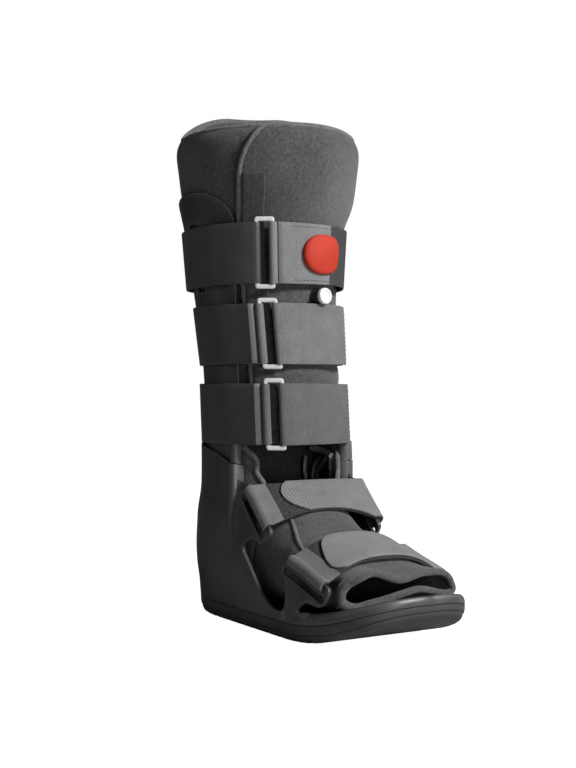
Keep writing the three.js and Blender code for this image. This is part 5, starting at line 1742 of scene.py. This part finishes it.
# Studio: a floor and a surround that the camera sees as white, a soft key light from the front
# right, a low weak one in front and a weaker one from the left, and the camera at the
# photograph's angle.
floor = bpy.data.objects.new("studio_floor", bpy.data.meshes.new("studio_floor"))
FLOOR_HALF = 6.0
FLOOR_GLOW = 1.0
SURROUND_LIGHT = 0.07
floor.data.from_pydata([(-FLOOR_HALF, -FLOOR_HALF, 0), (FLOOR_HALF, -FLOOR_HALF, 0),
                        (FLOOR_HALF, FLOOR_HALF, 0), (-FLOOR_HALF, FLOOR_HALF, 0)], [], [(0, 1, 2, 3)])
bpy.context.scene.collection.objects.link(floor)
floor_material, floor_tree, floor_shader = principled("studio_floor", Roughness=0.9, Specular_IOR_Level=0.1)
floor_shader.inputs["Base Color"].default_value = (0.5, 0.5, 0.5, 1)
floor_shader.inputs["Emission Color"].default_value = (1, 1, 1, 1)
seen = floor_tree.nodes.new("ShaderNodeLightPath")
lifted = add_node(floor_tree, "ShaderNodeMath", [(0, seen.outputs["Is Camera Ray"])], operation="MULTIPLY")
lifted.inputs[1].default_value = FLOOR_GLOW
floor_tree.links.new(lifted.outputs[0], floor_shader.inputs["Emission Strength"])
floor.data.materials.append(floor_material)

world = bpy.data.worlds.new("studio")
bpy.context.scene.world = world
world.use_nodes = True
surround = world.node_tree.nodes["Background"]
surround.inputs["Color"].default_value = (1, 1, 1, 1)
seen = world.node_tree.nodes.new("ShaderNodeLightPath")
strength = world.node_tree.nodes.new("ShaderNodeMapRange")
strength.inputs["To Min"].default_value = SURROUND_LIGHT
strength.inputs["To Max"].default_value = 1.0
world.node_tree.links.new(seen.outputs["Is Camera Ray"], strength.inputs["Value"])
world.node_tree.links.new(strength.outputs[0], surround.inputs["Strength"])

TARGET = Vector((0, 0.04, 0.2))


def soft_light(name, azimuth, height, distance, size, power):
    """Square soft light aimed at the boot from an azimuth in degrees."""
    data = bpy.data.lights.new(name, "AREA")
    data.shape = "SQUARE"
    data.size = size
    data.energy = power
    light = bpy.data.objects.new(name, data)
    turn = math.radians(azimuth)
    light.location = (distance * math.sin(turn), -distance * math.cos(turn), height)
    light.rotation_euler = (TARGET - light.location).to_track_quat("-Z", "Y").to_euler()
    bpy.context.scene.collection.objects.link(light)


soft_light("key", 19, 1.1, 1.5, 0.36, 42)
soft_light("low_front", -8, 0.24, 1.5, 0.3, 3.8)
soft_light("left_strip", -120, 0.7, 1.9, 0.5, 1.4)

CAMERA_AZIMUTH = -31
CAMERA_DISTANCE = 1.1
CAMERA_HEIGHT = 0.198
CAMERA_AXIS_Y = 0.075
FOCAL_PIXELS = 1232
PICTURE_WIDTH = 576
PICTURE_HEIGHT = 768
CENTRE_PIXEL = (270, 388)
SENSOR = 36
camera_data = bpy.data.cameras.new("camera")
camera = bpy.data.objects.new("camera", camera_data)
bpy.context.scene.collection.objects.link(camera)
turn = math.radians(CAMERA_AZIMUTH)
camera.location = (CAMERA_DISTANCE * math.sin(turn),
                   CAMERA_AXIS_Y - CAMERA_DISTANCE * math.cos(turn), CAMERA_HEIGHT)
camera.rotation_euler = (math.radians(90), 0, turn)
camera_data.sensor_fit = "VERTICAL"
camera_data.sensor_height = SENSOR
camera_data.lens = FOCAL_PIXELS / PICTURE_HEIGHT * SENSOR
camera_data.shift_x = (PICTURE_WIDTH / 2 - CENTRE_PIXEL[0]) / PICTURE_HEIGHT
camera_data.shift_y = (CENTRE_PIXEL[1] - PICTURE_HEIGHT / 2) / PICTURE_HEIGHT
bpy.context.scene.camera = camera
bpy.context.scene.view_settings.view_transform = "Standard"
